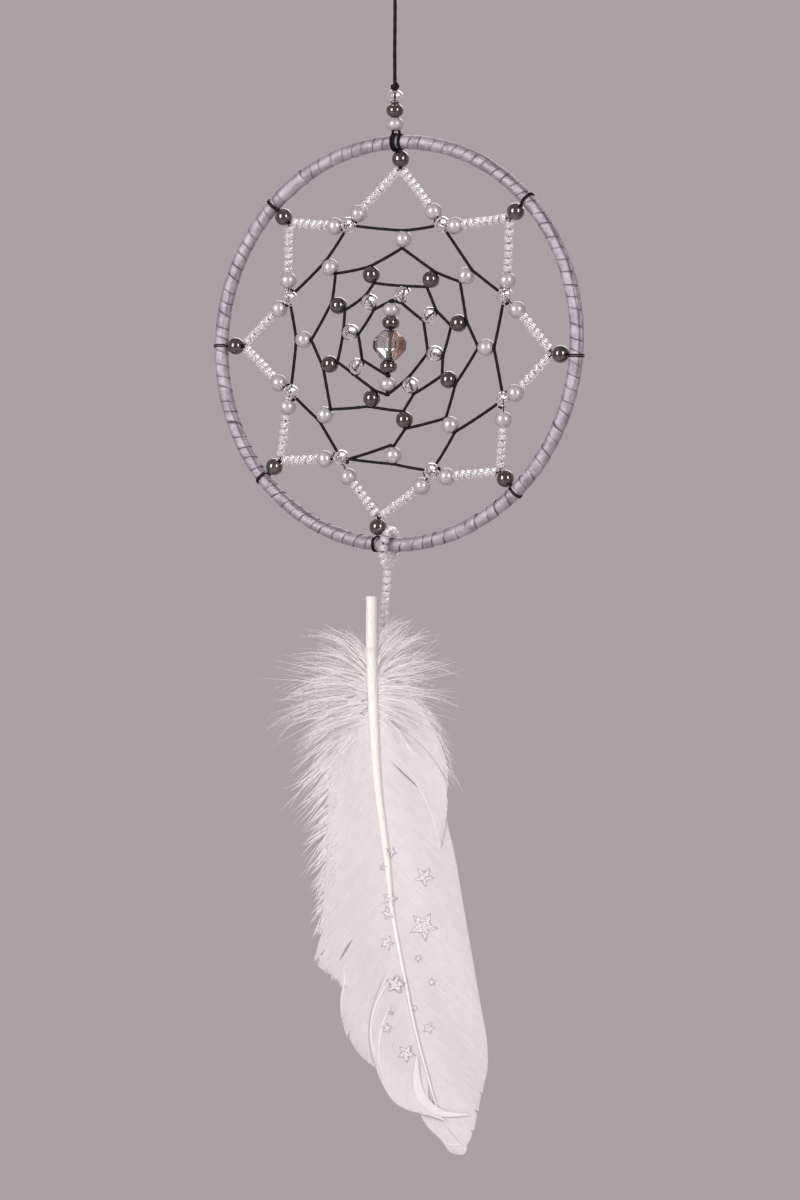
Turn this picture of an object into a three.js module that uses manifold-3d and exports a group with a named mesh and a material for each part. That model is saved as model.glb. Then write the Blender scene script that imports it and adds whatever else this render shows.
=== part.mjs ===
// Dream catcher: a ribbon-wrapped hoop with a beaded star and thread web inside it,
// a hanging cord with three beads above, and a string of seed beads with a feather below.
// Units are millimetres, +Z is up, the hoop lies in the XZ plane and its front faces -Y.
// The origin is the inside top of the hanging loop, where a hook or nail holds the whole piece.
import * as THREE from "three";
import { mergeVertices } from "three/addons/utils/BufferGeometryUtils.js";
import Module from "manifold-3d";

const manifold = await Module();
manifold.setup();

// ---- driving dimensions ----
const HOOP_DROP = 104; // origin to hoop centre
const HOOP_R = 47.4; // centre line of the tube
const CORE_R = 1.1; // metal ring wire
const RIBBON_R = 1.6; // outside of the ribbon
const RIBBON_INNER_R = 1.28;
const RIBBON_SLIT = 12; // half angle of the ribbon's lap gap on the outer side, degrees

const BEAD_R = 2.1; // 4 mm round beads
const BEAD_HALF = 1.6; // half length along the hole
const BORE_R = 0.5;
const SEED_R = 1.15; // seed beads
const SEED_PITCH = 1.65;
const SEED_WAIST = 0.69; // between two touching seeds
const SEED_LIP = 0.065;
const THREAD_R = 0.3;
const WRAP_R = 0.25;
const CORD_R = 0.45;
const KNOT_R = 0.5;
const KNOT_STEP = 0.45; // from a bead's end to the middle of the knot beyond it

const STAR_BEAD_R = 43.4; // hoop beads, from the hoop centre
const STAR_ANGLES = [2, 47, 95, 138, 186, 229, 271, 316]; // clockwise from the top, degrees

// The star's inner corners: a glass bead between two pearls, each as [radius, angle].
const STAR_CORNERS = [
  { first: [32.3, 18.5], corner: [30.1, 24.5], second: [31.4, 30.5] },
  { first: [32.5, 65], corner: [30.6, 70.5], second: [32.8, 78] },
  { first: [34, 111.5], corner: [31.8, 116], second: [34, 123] },
  { first: [34.4, 156.5], corner: [31.8, 162], second: [34.4, 168] },
  { first: [33.6, 202], corner: [30.4, 208.5], second: [32.8, 215] },
  { first: [32.4, 244], corner: [30.3, 249], second: [32.6, 255] },
  { first: [32.8, 286.5], corner: [31, 292.5], second: [33.1, 299] },
  { first: [32.6, 330.5], corner: [31, 336.5], second: [32.6, 342.5] },
];

// The three rings of web beads, each bead as [radius, angle]. A hole runs radially, or along
// the third number where a bead's threads pull it askew.
const PEARLS = [
  [24.6, 5],
  [24.2, 51],
  [24.1, 94],
  [24.4, 143],
  [26.3, 181],
  [25, 229],
  [24.7, 274],
  [25.5, 317],
];
const DARKS = [
  [17.6, 339],
  [17.6, 33],
  [17.4, 76],
  [16.8, 122],
  [18.2, 172],
  [14.2, 206],
  [18, 256],
  [17.9, 302],
];
const CLEARS = [
  [12, 326],
  [11.7, 11],
  [11.2, 56],
  [11.1, 105],
  [10.9, 157],
  [11.3, 243, 218],
  [12.2, 284],
];

// The centre string, top and bottom knots as [x, z] from the hoop centre.
const CENTRE_TOP = [-0.8, 10.2];
const CENTRE_BOTTOM = [-2.1, -12];
const CENTRE_KNOT = [-1.8, -7.5];

// ---- helpers ----
const rad = THREE.MathUtils.degToRad;
const root = new THREE.Group();
root.name = "dream_catcher";

// A point of the hoop's plane from a radius and a clockwise angle.
function polar([radius, angle], along = 0) {
  const a = rad(angle);
  return new THREE.Vector3(Math.sin(a), 0, Math.cos(a)).multiplyScalar(radius + along);
}

// The outward direction of a web bead's hole.
function holeOf([, angle, askew = angle]) {
  return polar([1, askew]);
}

function flat([x, z]) {
  return new THREE.Vector3(x, 0, z);
}

function addMesh(name, geometry, material) {
  const mesh = new THREE.Mesh(geometry, material);
  mesh.name = name;
  mesh.position.z = -HOOP_DROP;
  root.add(mesh);
  return mesh;
}

// Turns a geometry built along +Y so that it runs along a direction, from a place.
function pointAlong(geometry, direction, place) {
  const up = new THREE.Vector3(0, 1, 0);
  const turn = new THREE.Quaternion().setFromUnitVectors(up, direction.clone().normalize());
  return geometry.applyQuaternion(turn).translate(place.x, place.y, place.z);
}

function toSolid(geometry) {
  const plain = new THREE.BufferGeometry();
  const loose = geometry.index ? geometry.toNonIndexed() : geometry;
  plain.setAttribute("position", loose.getAttribute("position"));
  const merged = mergeVertices(plain, 1e-3);
  return new manifold.Manifold(
    new manifold.Mesh({
      numProp: 3,
      vertProperties: merged.attributes.position.array,
      triVerts: new Uint32Array(merged.index.array),
    }),
  );
}

function toGeometry(solid) {
  const mesh = solid.getMesh();
  const geometry = new THREE.BufferGeometry();
  geometry.setAttribute("position", new THREE.BufferAttribute(mesh.vertProperties, 3));
  geometry.setIndex(new THREE.BufferAttribute(mesh.triVerts, 1));
  geometry.computeVertexNormals();
  return geometry;
}

// Joins overlapping geometries into one closed body.
function join(geometries) {
  let whole = toSolid(geometries[0]);
  for (const next of geometries.slice(1)) {
    whole = whole.add(toSolid(next));
  }
  return toGeometry(whole);
}

// A round bead with a hole through it, along +Y.
function beadGeometry(radius, half, sides = 8, steps = 3) {
  const start = Math.acos(Math.min(1, (BORE_R + 0.35) / radius));
  const profile = [];
  for (let i = 0; i <= steps; i += 1) {
    const a = start * ((2 * i) / steps - 1);
    profile.push(new THREE.Vector2(radius * Math.cos(a), (half * Math.sin(a)) / Math.sin(start)));
  }
  profile.push(new THREE.Vector2(BORE_R, half));
  profile.push(new THREE.Vector2(BORE_R, -half));
  profile.push(profile[0].clone());
  return new THREE.LatheGeometry(profile, sides);
}

// A straight thread between two points.
function threadGeometry(from, to, radius = THREAD_R, sides = 4) {
  const line = new THREE.Vector3().subVectors(to, from);
  const rod = new THREE.CylinderGeometry(radius, radius, line.length(), sides).rotateY(0.35);
  return pointAlong(rod, line, from.clone().add(to).multiplyScalar(0.5));
}

function knotGeometry(place, radius = KNOT_R) {
  const lump = new THREE.OctahedronGeometry(radius, 0).rotateY(0.4).rotateX(0.3);
  return lump.translate(place.x, place.y, place.z);
}

// A row of touching seed beads from one point to another, as one turned body.
function seedRow(from, to, count, sides = 5) {
  const line = new THREE.Vector3().subVectors(to, from);
  const pitch = line.length() / count;
  const profile = [new THREE.Vector2(0, 0)];
  for (let i = 0; i < count; i += 1) {
    profile.push(new THREE.Vector2(SEED_WAIST, pitch * i + SEED_LIP));
    profile.push(new THREE.Vector2(SEED_R, pitch * (i + 0.5)));
  }
  profile.push(new THREE.Vector2(SEED_WAIST, line.length() - SEED_LIP));
  profile.push(new THREE.Vector2(0, line.length()));
  return pointAlong(new THREE.LatheGeometry(profile, sides), line, from);
}

function roundBead(place, radius = BEAD_R - 0.05, sides = 7) {
  return new THREE.SphereGeometry(radius, sides, 4).translate(place.x, place.y, place.z);
}

// A cord of round section along an open curve.
function cordGeometry(points, steps) {
  const circle = new THREE.Shape();
  circle.absarc(0, 0, CORD_R, 0, 2 * Math.PI);
  return new THREE.ExtrudeGeometry(circle, {
    steps,
    curveSegments: 4,
    extrudePath: new THREE.CatmullRomCurve3(points),
  });
}

// ---- materials ----
function paint(color, roughness, metalness, extra = {}) {
  return new THREE.MeshStandardMaterial({ color, roughness, metalness, ...extra });
}

const clear = { transparent: true, opacity: 0.45 };
const cordBlack = paint(0x16141a, 0.6, 0);
const ringSteel = paint(0xa9a6ad, 0.35, 1);
const ribbonLilac = paint(0xc9c2d0, 0.45, 0);
const darkGlass = paint(0x2b272c, 0.12, 0.8);
const pearlGrey = paint(0xa7a3ab, 0.28, 0.25);
const clearGlass = paint(0xe4e3ea, 0.06, 0, clear);
const seedSilver = paint(0xdcdbe3, 0.15, 0.1);
const crystalSmoke = paint(0x7d6a63, 0.05, 0.1);
const quillCream = paint(0xe6dccb, 0.5, 0);
const vaneWhite = paint(0xd9d5e2, 0.75, 0);
const downWhite = paint(0xe6e2ec, 0.95, 0);
const palePly = paint(0xdfd9d2, 0.7, 0);

// ---- hanging loop and cord ----
const LOOP_KNOT_Z = 87.7;
const LOOP_KNOT_R = 1.5;
const LOOP_TOP = HOOP_DROP + CORD_R;
const loopPath = [
  [-0.3, 88.2],
  [-2.2, 92],
  [-3.4, 97],
  [-2.9, 101.6],
  [0, LOOP_TOP],
  [2.9, 101.6],
  [3.4, 97],
  [2.2, 92],
  [0.3, 88.2],
];
const loopKnot = new THREE.SphereGeometry(LOOP_KNOT_R, 10, 7).scale(1, 0.85, 0.93);
loopKnot.translate(0, 0, LOOP_KNOT_Z);
addMesh("hanging_loop", join([cordGeometry(loopPath.map(flat), 24), loopKnot]), cordBlack);

const CORD_TOP = 85.95;
const STOP_KNOT_Z = 60.7;
const STOP_KNOT_R = 1.15;
const cordRun = [
  [0, CORD_TOP],
  [0.05, 78],
  [-0.05, 69],
  [0, STOP_KNOT_Z],
];
const stopKnot = new THREE.SphereGeometry(STOP_KNOT_R, 8, 6).scale(1, 1, 0.8);
stopKnot.translate(0, 0, STOP_KNOT_Z);
addMesh("hanging_cord", join([cordGeometry(cordRun.map(flat), 10), stopKnot]), cordBlack);

const HANGER_HALF = 1.55;
const hangerBeads = [
  ["hanger_bead_clear", 58.1, clearGlass],
  ["hanger_bead_dark", 54.9, darkGlass],
  ["hanger_bead_pearl", 51.7, pearlGrey],
];
for (const [name, height, material] of hangerBeads) {
  const shape = beadGeometry(BEAD_R, HANGER_HALF, 10, 4);
  addMesh(name, pointAlong(shape, new THREE.Vector3(0, 0, 1), flat([0, height])), material);
}

// ---- hoop ----
// The ring wire and the ribbon are both turned about the hoop's axis, which is Y.
function hoopLathe(profile, segments) {
  return new THREE.LatheGeometry(profile, segments).rotateY(0.05);
}

const HOOP_SEGMENTS = 48;
const CORE_SIDES = 8;
const coreProfile = [];
for (let i = 0; i < CORE_SIDES; i += 1) {
  const a = (i / CORE_SIDES) * 2 * Math.PI;
  coreProfile.push(new THREE.Vector2(HOOP_R + CORE_R * Math.cos(a), CORE_R * Math.sin(a)));
}
coreProfile.push(coreProfile[0].clone());
addMesh("hoop_ring", hoopLathe(coreProfile, HOOP_SEGMENTS), ringSteel);

const ribbonProfile = [];
const ARC_STEPS = 7;
for (let i = 0; i <= ARC_STEPS; i += 1) {
  const a = rad(RIBBON_SLIT + ((360 - 2 * RIBBON_SLIT) * i) / ARC_STEPS);
  ribbonProfile.push(new THREE.Vector2(HOOP_R + RIBBON_R * Math.cos(a), RIBBON_R * Math.sin(a)));
}
for (let i = ARC_STEPS; i >= 0; i -= 1) {
  const a = rad(RIBBON_SLIT + ((360 - 2 * RIBBON_SLIT) * i) / ARC_STEPS);
  const x = HOOP_R + RIBBON_INNER_R * Math.cos(a);
  ribbonProfile.push(new THREE.Vector2(x, RIBBON_INNER_R * Math.sin(a)));
}
ribbonProfile.push(ribbonProfile[0].clone());
addMesh("ribbon_wrap", hoopLathe(ribbonProfile, HOOP_SEGMENTS), ribbonLilac);

// A turn of thread round the hoop's tube at an angle of the hoop.
function wrapAt(angle, ringRadius, wireRadius, segments) {
  const ring = new THREE.TorusGeometry(ringRadius, wireRadius, 4, segments);
  const place = polar([HOOP_R, angle]);
  return ring.rotateZ(0.3).rotateY(rad(angle + 90)).translate(place.x, 0, place.z);
}

// The hitch that ties the cord to the hoop: two turns round the tube under a short neck.
const HITCH_TURNS = [-1.2, 0.5]; // places round the hoop, degrees
const HITCH_OUT = 0.4; // cord's centre line outside the ribbon
const HITCH_TOP = HOOP_R + RIBBON_R + HITCH_OUT;
const NECK_RISE = 0.55;
const hitchTurns = HITCH_TURNS.map((angle) => wrapAt(angle, RIBBON_R + HITCH_OUT, 0.3, 12));
const hitchBar = threadGeometry(flat([-1.05, HITCH_TOP]), flat([0.5, HITCH_TOP]), 0.32, 6);
const hitchNeck = threadGeometry(flat([0, HITCH_TOP - 0.1]), flat([0, HITCH_TOP + NECK_RISE]), 0.4, 8);
addMesh("hoop_hitch", join([...hitchTurns, hitchBar, hitchNeck]), cordBlack);

// ---- hoop beads and star strands ----
const STRAND_END = 0.85; // from the middle of the next strand's knot to the thread's cut end
const SEED_FROM_KNOT = 0.8;
const SEED_FROM_PEARL = 1.9;
const SEED_FROM_END = 0.3;
const WRAP_OUT = 0.35; // thread's centre line outside the ribbon

STAR_ANGLES.forEach((angle, i) => {
  const outward = polar([1, angle]);
  const bead = pointAlong(beadGeometry(BEAD_R, BEAD_HALF), outward, polar([STAR_BEAD_R, angle]));
  addMesh("hoop_bead_" + (i + 1), bead, darkGlass);
});

STAR_ANGLES.forEach((angle, i) => {
  const next = STAR_ANGLES[(i + 1) % STAR_ANGLES.length];
  const { first, corner, second } = STAR_CORNERS[i];
  const knot = polar([STAR_BEAD_R, angle], -BEAD_HALF - KNOT_STEP);
  const pearlA = polar(first);
  const glass = polar(corner);
  const pearlB = polar(second);
  const far = polar([STAR_BEAD_R, next], -BEAD_HALF - KNOT_STEP);
  const outA = new THREE.Vector3().subVectors(pearlA, knot).normalize();
  const outB = new THREE.Vector3().subVectors(far, pearlB).normalize();
  const end = far.clone().addScaledVector(outB, -STRAND_END);
  const startA = knot.clone().addScaledVector(outA, SEED_FROM_KNOT);
  const endA = pearlA.clone().addScaledVector(outA, -SEED_FROM_PEARL);
  const startB = pearlB.clone().addScaledVector(outB, SEED_FROM_PEARL);
  const endB = end.clone().addScaledVector(outB, -SEED_FROM_END);
  const countA = Math.round(startA.distanceTo(endA) / SEED_PITCH);
  const countB = Math.round(startB.distanceTo(endB) / SEED_PITCH);
  const strand = join([
    wrapAt(angle, RIBBON_R + WRAP_OUT, WRAP_R, 9),
    threadGeometry(polar([HOOP_R - RIBBON_R - WRAP_OUT, angle]), knot),
    knotGeometry(knot, 0.55),
    threadGeometry(knot, pearlA),
    seedRow(startA, endA, countA),
    roundBead(pearlA),
    threadGeometry(pearlA, glass),
    roundBead(glass),
    threadGeometry(glass, pearlB),
    roundBead(pearlB),
    seedRow(startB, endB, countB),
    threadGeometry(pearlB, end),
  ]);
  addMesh("star_strand_" + (i + 1), strand, seedSilver);
});

// ---- web beads ----
const RINGS = [
  ["web_pearl_", PEARLS, pearlGrey],
  ["web_dark_", DARKS, darkGlass],
  ["web_clear_", CLEARS, clearGlass],
];
for (const [stem, ring, material] of RINGS) {
  ring.forEach((spot, i) => {
    const bead = pointAlong(beadGeometry(BEAD_R, BEAD_HALF), holeOf(spot), polar(spot));
    addMesh(stem + (i + 1), bead, material);
  });
}

// ---- centre string ----
const centreTop = flat(CENTRE_TOP);
const centreBottom = flat(CENTRE_BOTTOM);
const centreLine = new THREE.Vector3().subVectors(centreTop, centreBottom).normalize();

// A place on the centre string at a height from the hoop centre.
function onCentre(height) {
  const t = (centreTop.z - height) / (centreTop.z - centreBottom.z);
  return new THREE.Vector3().lerpVectors(centreTop, centreBottom, t);
}

// A faceted crystal with a hole along +Y: flat table, crown, girdle, pavilion and table.
function crystalGeometry() {
  const profile = [
    [BORE_R, -3.55],
    [2, -3.55],
    [3.35, -1.9],
    [3.9, 0],
    [3.35, 1.9],
    [2, 3.55],
    [BORE_R, 3.55],
    [BORE_R, -3.55],
  ];
  return new THREE.LatheGeometry(profile.map(([x, y]) => new THREE.Vector2(x, y)), 12);
}

// Each bead as its name, height, half length along the hole and material.
const centreBeads = [
  ["centre_pearl_top", 8, 1.5, pearlGrey],
  ["centre_dark_top", 4.95, 1.25, darkGlass],
  ["centre_dark_bottom", -5.3, 1.25, darkGlass],
  ["centre_pearl_bottom", -9.5, 1.5, pearlGrey],
];
for (const [name, height, half, material] of centreBeads) {
  addMesh(name, pointAlong(beadGeometry(BEAD_R, half), centreLine, onCentre(height)), material);
}
const crystal = pointAlong(crystalGeometry(), centreLine, onCentre(-0.3));
addMesh("centre_crystal", crystal, crystalSmoke);

// ---- web thread ----
// Each web bead sits on a short radial thread between an outer and an inner knot.
const KNOT_OFF = BEAD_HALF + KNOT_STEP;
const knots = {};
const threads = [];

function nameKnots(letter, ring) {
  ring.forEach((spot, i) => {
    knots[letter + i + "o"] = polar(spot).addScaledVector(holeOf(spot), KNOT_OFF);
    knots[letter + i + "i"] = polar(spot).addScaledVector(holeOf(spot), -KNOT_OFF);
    threads.push([letter + i + "o", letter + i + "i"]);
  });
}
nameKnots("P", PEARLS);
nameKnots("D", DARKS);
nameKnots("C", CLEARS);
knots.top = centreTop;
knots.mid = flat(CENTRE_KNOT);
knots.bottom = centreBottom;
threads.push(["top", "mid"], ["mid", "bottom"]);

// First row: from the knot over each pearl to the glass beads on both sides of it.
const CORNER_REACH = BEAD_R + 0.25;
STAR_CORNERS.forEach(({ corner }, i) => {
  const place = polar(corner);
  for (const pearl of [i, (i + 1) % PEARLS.length]) {
    const knot = knots["P" + pearl + "o"];
    const key = "V" + i + "_" + pearl;
    const toKnot = new THREE.Vector3().subVectors(knot, place).setLength(CORNER_REACH);
    knots[key] = place.clone().add(toKnot);
    threads.push(["P" + pearl + "o", key]);
  }
});

// Second row: pearls to dark beads. Third row: dark beads to clear beads. Then the inner loop.
const SECOND_ROW = [
  ["P0i", "D0o"],
  ["P0i", "D1o"],
  ["P1i", "D1o"],
  ["P1i", "D2o"],
  ["P2i", "D2o"],
  ["P2i", "D3o"],
  ["P3i", "D3o"],
  ["P3i", "D4o"],
  ["P4i", "D4o"],
  ["P5i", "D5o"],
  ["P5i", "D6o"],
  ["P6i", "D6o"],
  ["P6i", "D7o"],
  ["P7i", "D7o"],
  ["P7i", "D0o"],
  ["D4i", "D5o"],
];
const THIRD_ROW = [
  ["D0i", "C0o"],
  ["D0i", "C1o"],
  ["D1i", "C1o"],
  ["D1i", "C2o"],
  ["D2i", "C2o"],
  ["D2i", "C3o"],
  ["D3i", "C3o"],
  ["D3i", "C4o"],
  ["D4i", "C4o"],
  ["D5i", "bottom"],
  ["C4i", "bottom"],
  ["D5i", "C5o"],
  ["D6i", "C5o"],
  ["D6i", "C6o"],
  ["D7i", "C6o"],
  ["D7i", "C0o"],
];
const INNER_LOOP = [
  ["C0i", "top"],
  ["top", "C1i"],
  ["C1i", "C2i"],
  ["C2i", "C3i"],
  ["C3i", "C4i"],
  ["C0i", "C6i"],
  ["C6i", "C5i"],
  ["C5i", "mid"],
];
threads.push(...SECOND_ROW, ...THIRD_ROW, ...INNER_LOOP);

// One thread bends over the inner end of the fifth pearl and runs back to the star's corner.
knots.bend = polar([23.9, 182.5]);
threads.push(["P4i", "bend"], ["bend", "V4_4"]);

const webPieces = threads.map(([from, to]) => threadGeometry(knots[from], knots[to], THREAD_R, 3));
for (const [key, place] of Object.entries(knots)) {
  if (!key.startsWith("V") && !key.endsWith("i")) {
    webPieces.push(knotGeometry(place));
  }
}
addMesh("web_thread", join(webPieces), cordBlack);

// ---- seed-bead drop under the hoop ----
const DROP_CENTRE = new THREE.Vector3(-1.4, 0, -48.1);
const DROP_LEAN = 6; // degrees, the loop's foot leans towards -X
const DROP_HALF = [3.35, 4]; // half width front to back, half height
const DROP_SEEDS = 13;
const DROP_SEED_R = 1.1;

const dropPieces = [];
const ringLine = [];
for (let i = 0; i < DROP_SEEDS; i += 1) {
  const a = (i / DROP_SEEDS) * 2 * Math.PI;
  const up = DROP_HALF[1] * Math.cos(a);
  const place = new THREE.Vector3(Math.sin(rad(DROP_LEAN)) * up, DROP_HALF[0] * Math.sin(a), up);
  ringLine.push(place.add(DROP_CENTRE));
}
ringLine.forEach((place, i) => {
  const next = ringLine[(i + 1) % DROP_SEEDS];
  dropPieces.push(threadGeometry(place, next));
  dropPieces.push(roundBead(place, DROP_SEED_R, 6));
});
addMesh("drop_loop", join(dropPieces), seedSilver);

const CHAIN_TOP = new THREE.Vector3(-1.9, 0, -53.35);
const CHAIN_END = new THREE.Vector3(-3.4, 0, -69.7);
const CHAIN_SEEDS = 10;
addMesh("drop_chain", seedRow(CHAIN_TOP, CHAIN_END, CHAIN_SEEDS, 7), seedSilver);

// ---- feather ----
// The feather's flat side is turned about the chain, and stands a little in front of it.
const FEATHER_TURN = 28; // degrees
const QUILL_OUT = 3.6; // quill's centre line in front of the chain
const VANE_THICK = 0.5;
const feather = new THREE.Group();
feather.name = "feather";
feather.rotation.z = rad(FEATHER_TURN);
feather.position.z = -HOOP_DROP;
root.add(feather);

function addFeatherMesh(name, geometry, material) {
  const mesh = new THREE.Mesh(geometry, material);
  mesh.name = name;
  feather.add(mesh);
}

// The quill's and shaft's centre line, as [across, height from the hoop centre].
const shaftLine = new THREE.CatmullRomCurve3(
  [
    [-5.5, -59.5],
    [-5.5, -73],
    [-5, -88],
    [-4, -104],
    [-2, -120],
    [-0.5, -134],
    [2.4, -149.5],
    [5, -162],
    [9, -176],
    [12, -184],
  ].map(([u, z]) => new THREE.Vector3(u, -QUILL_OUT, z)),
);

const QUILL_R = 1.25; // at the cut top
const TIP_R = 0.3;
function shaftRadius(t) {
  return QUILL_R - (QUILL_R - TIP_R) * t ** 0.8;
}

// The shaft is a tapering round rod: rings of points along its centre line, closed at both ends.
function shaftGeometry(rings, sides) {
  const points = [];
  const faces = [];
  for (let i = 0; i <= rings; i += 1) {
    const t = i / rings;
    const centre = shaftLine.getPointAt(t);
    for (let k = 0; k < sides; k += 1) {
      const a = (k / sides) * 2 * Math.PI;
      const r = shaftRadius(t);
      points.push(centre.x + r * Math.cos(a), centre.y + r * Math.sin(a), centre.z);
    }
  }
  for (let i = 0; i < rings; i += 1) {
    for (let k = 0; k < sides; k += 1) {
      const a = i * sides + k;
      const b = i * sides + ((k + 1) % sides);
      faces.push(a, a + sides, b, b, a + sides, b + sides);
    }
  }
  const last = rings * sides;
  for (let k = 1; k < sides - 1; k += 1) {
    faces.push(0, k, k + 1);
    faces.push(last, last + k + 1, last + k);
  }
  const geometry = new THREE.BufferGeometry();
  geometry.setAttribute("position", new THREE.Float32BufferAttribute(points, 3));
  geometry.setIndex(faces);
  geometry.computeVertexNormals();
  return geometry;
}
addFeatherMesh("feather_quill", shaftGeometry(20, 8), quillCream);

// One vane: its free edge is given, and its inner edge follows the shaft at a small gap.
const SHAFT_GAP = 0.12;
function vaneGeometry(side, from, to, edge) {
  const shape = new THREE.Shape();
  const steps = 14;
  for (let i = 0; i <= steps; i += 1) {
    const t = THREE.MathUtils.lerp(from, to, i / steps);
    const centre = shaftLine.getPointAt(t);
    const u = centre.x + side * (shaftRadius(t) + SHAFT_GAP);
    if (i === 0) {
      shape.moveTo(u, centre.z);
    } else {
      shape.lineTo(u, centre.z);
    }
  }
  for (const [u, z] of edge) {
    shape.lineTo(u, z);
  }
  const plate = new THREE.ExtrudeGeometry(shape, { depth: VANE_THICK, bevelEnabled: false });
  return plate.rotateX(Math.PI / 2).translate(0, -QUILL_OUT + VANE_THICK / 2, 0);
}

// Free edges, from the tip up to the quill.
const rightEdge = [
  [13.2, -186.5],
  [13.6, -190],
  [16.6, -189.5],
  [18.6, -183],
  [20.2, -179],
  [21.8, -171],
  [21, -160],
  [17.2, -139],
  [15, -126],
  [13.2, -116],
  [9.5, -109],
  [12.2, -104],
  [12.7, -100],
  [11.2, -96],
  [8.5, -90.5],
  [2.5, -83],
];
const leftEdge = [
  [12, -186.5],
  [9.4, -185.2],
  [5.6, -180.8],
  [1, -178.8],
  [-3.2, -172.5],
  [-6.2, -169],
  [-9.8, -165],
  [-12.6, -158.5],
  [-12.4, -151],
  [-16.6, -147.5],
  [-18.6, -144.3],
  [-11, -140.5],
  [-17.2, -136],
  [-16.3, -116],
  [-17.9, -106.3],
  [-13.5, -92.5],
];
addFeatherMesh("feather_vane_right", vaneGeometry(1, 0.18, 0.99, rightEdge), vaneWhite);
addFeatherMesh("feather_vane_left", vaneGeometry(-1, 0.2, 0.99, leftEdge), vaneWhite);

// The down: two soft tufts behind the quill, joined under the lashing.
const downEdge = [
  [-8.5, -75.5],
  [-10, -70],
  [-14, -66.5],
  [-20, -68],
  [-25, -70],
  [-29.5, -77],
  [-26, -84],
  [-18, -92],
  [-7, -97],
  [-4, -97],
  [8, -93],
  [19.5, -88],
  [14, -78],
  [12.5, -72],
  [5.5, -66.5],
  [0.5, -70],
  [-2, -75.5],
];
const DOWN_THICK = 0.8;
const DOWN_OUT = 1.4; // its back face, in front of the chain
const downShape = new THREE.Shape(downEdge.map(([u, z]) => new THREE.Vector2(u, z)));
const downPlate = new THREE.ExtrudeGeometry(downShape, { depth: DOWN_THICK, bevelEnabled: false });
addFeatherMesh("feather_down", downPlate.rotateX(Math.PI / 2).translate(0, -DOWN_OUT, 0), downWhite);

// The lashing that ties the quill to the end of the chain.
const LASH_Z = -72;
const LASH_TURNS = [-0.5, 0.1, 0.7]; // heights of the turns from LASH_Z
const LASH_R = 1.62;
const quillSpot = new THREE.Vector3(-5.5, -QUILL_OUT, LASH_Z);
const chainEnd = CHAIN_END.clone().applyAxisAngle(new THREE.Vector3(0, 0, 1), -rad(FEATHER_TURN));
const lashKnot = new THREE.Vector3(chainEnd.x - 0.4, chainEnd.y - 0.7, LASH_Z + 0.4);
const lashing = LASH_TURNS.map((rise) =>
  new THREE.TorusGeometry(LASH_R, 0.32, 4, 9).translate(quillSpot.x, quillSpot.y, LASH_Z + rise),
);
const lashSide = new THREE.Vector3().subVectors(lashKnot, quillSpot).setZ(0).setLength(LASH_R);
lashing.push(threadGeometry(quillSpot.clone().add(lashSide), lashKnot, 0.3));
lashing.push(threadGeometry(lashKnot, chainEnd.clone().setZ(CHAIN_END.z - 0.4), 0.3));
lashing.push(knotGeometry(lashKnot, 0.6));
addFeatherMesh("feather_lashing", join(lashing), palePly);

export default root;
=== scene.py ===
"""Looks of the dream catcher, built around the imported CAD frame. Lengths in tables are
millimetres from the hoop's centre; everything is turned into metres by place() and leaf()."""
import math
import random

import bpy
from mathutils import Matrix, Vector


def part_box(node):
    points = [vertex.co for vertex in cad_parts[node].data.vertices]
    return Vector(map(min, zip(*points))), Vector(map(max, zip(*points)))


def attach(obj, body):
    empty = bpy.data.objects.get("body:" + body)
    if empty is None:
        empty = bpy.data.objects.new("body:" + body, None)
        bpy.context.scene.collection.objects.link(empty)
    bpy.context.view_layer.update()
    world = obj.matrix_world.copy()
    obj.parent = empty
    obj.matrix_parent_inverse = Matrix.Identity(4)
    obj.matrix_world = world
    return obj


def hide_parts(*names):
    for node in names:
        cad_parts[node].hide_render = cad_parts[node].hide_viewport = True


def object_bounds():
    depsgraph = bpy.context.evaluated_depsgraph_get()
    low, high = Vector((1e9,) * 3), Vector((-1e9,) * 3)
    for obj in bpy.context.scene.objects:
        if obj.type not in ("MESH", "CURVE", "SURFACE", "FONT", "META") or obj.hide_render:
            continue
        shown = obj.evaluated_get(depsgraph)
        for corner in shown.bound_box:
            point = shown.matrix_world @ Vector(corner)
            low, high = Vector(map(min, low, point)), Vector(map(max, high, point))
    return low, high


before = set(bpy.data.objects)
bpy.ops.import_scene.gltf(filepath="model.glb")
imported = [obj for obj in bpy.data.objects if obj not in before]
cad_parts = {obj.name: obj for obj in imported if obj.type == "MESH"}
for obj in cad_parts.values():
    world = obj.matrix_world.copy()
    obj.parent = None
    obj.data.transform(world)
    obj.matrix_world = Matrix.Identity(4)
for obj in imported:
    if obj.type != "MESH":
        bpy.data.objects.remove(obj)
cad_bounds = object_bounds()

MM = 0.001
hoop_low, hoop_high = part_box("hoop_ring")
HUB = (Vector(hoop_low) + Vector(hoop_high)) / 2
# the feather is turned from the hoop's plane, and the camera stands square to it
FEATHER_TURN = math.radians(28)
ACROSS = Vector((math.cos(FEATHER_TURN), math.sin(FEATHER_TURN), 0))
OUT = Vector((math.sin(FEATHER_TURN), -math.cos(FEATHER_TURN), 0))
UP = Vector((0, 0, 1))


def place(x, z, y=0.0):
    """A point of the hoop's plane, or y in front of (-) or behind (+) it."""
    return HUB + Vector((x, y, z)) * MM


def polar(radius, angle, y=0.0):
    a = math.radians(angle)
    return place(radius * math.sin(a), radius * math.cos(a), y)


def ray(angle):
    a = math.radians(angle)
    return Vector((math.sin(a), 0, math.cos(a)))


def round_hub(angle):
    """The direction that runs round the hoop's centre at an angle."""
    return ray(angle).cross(Vector((0, 1, 0)))


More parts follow.
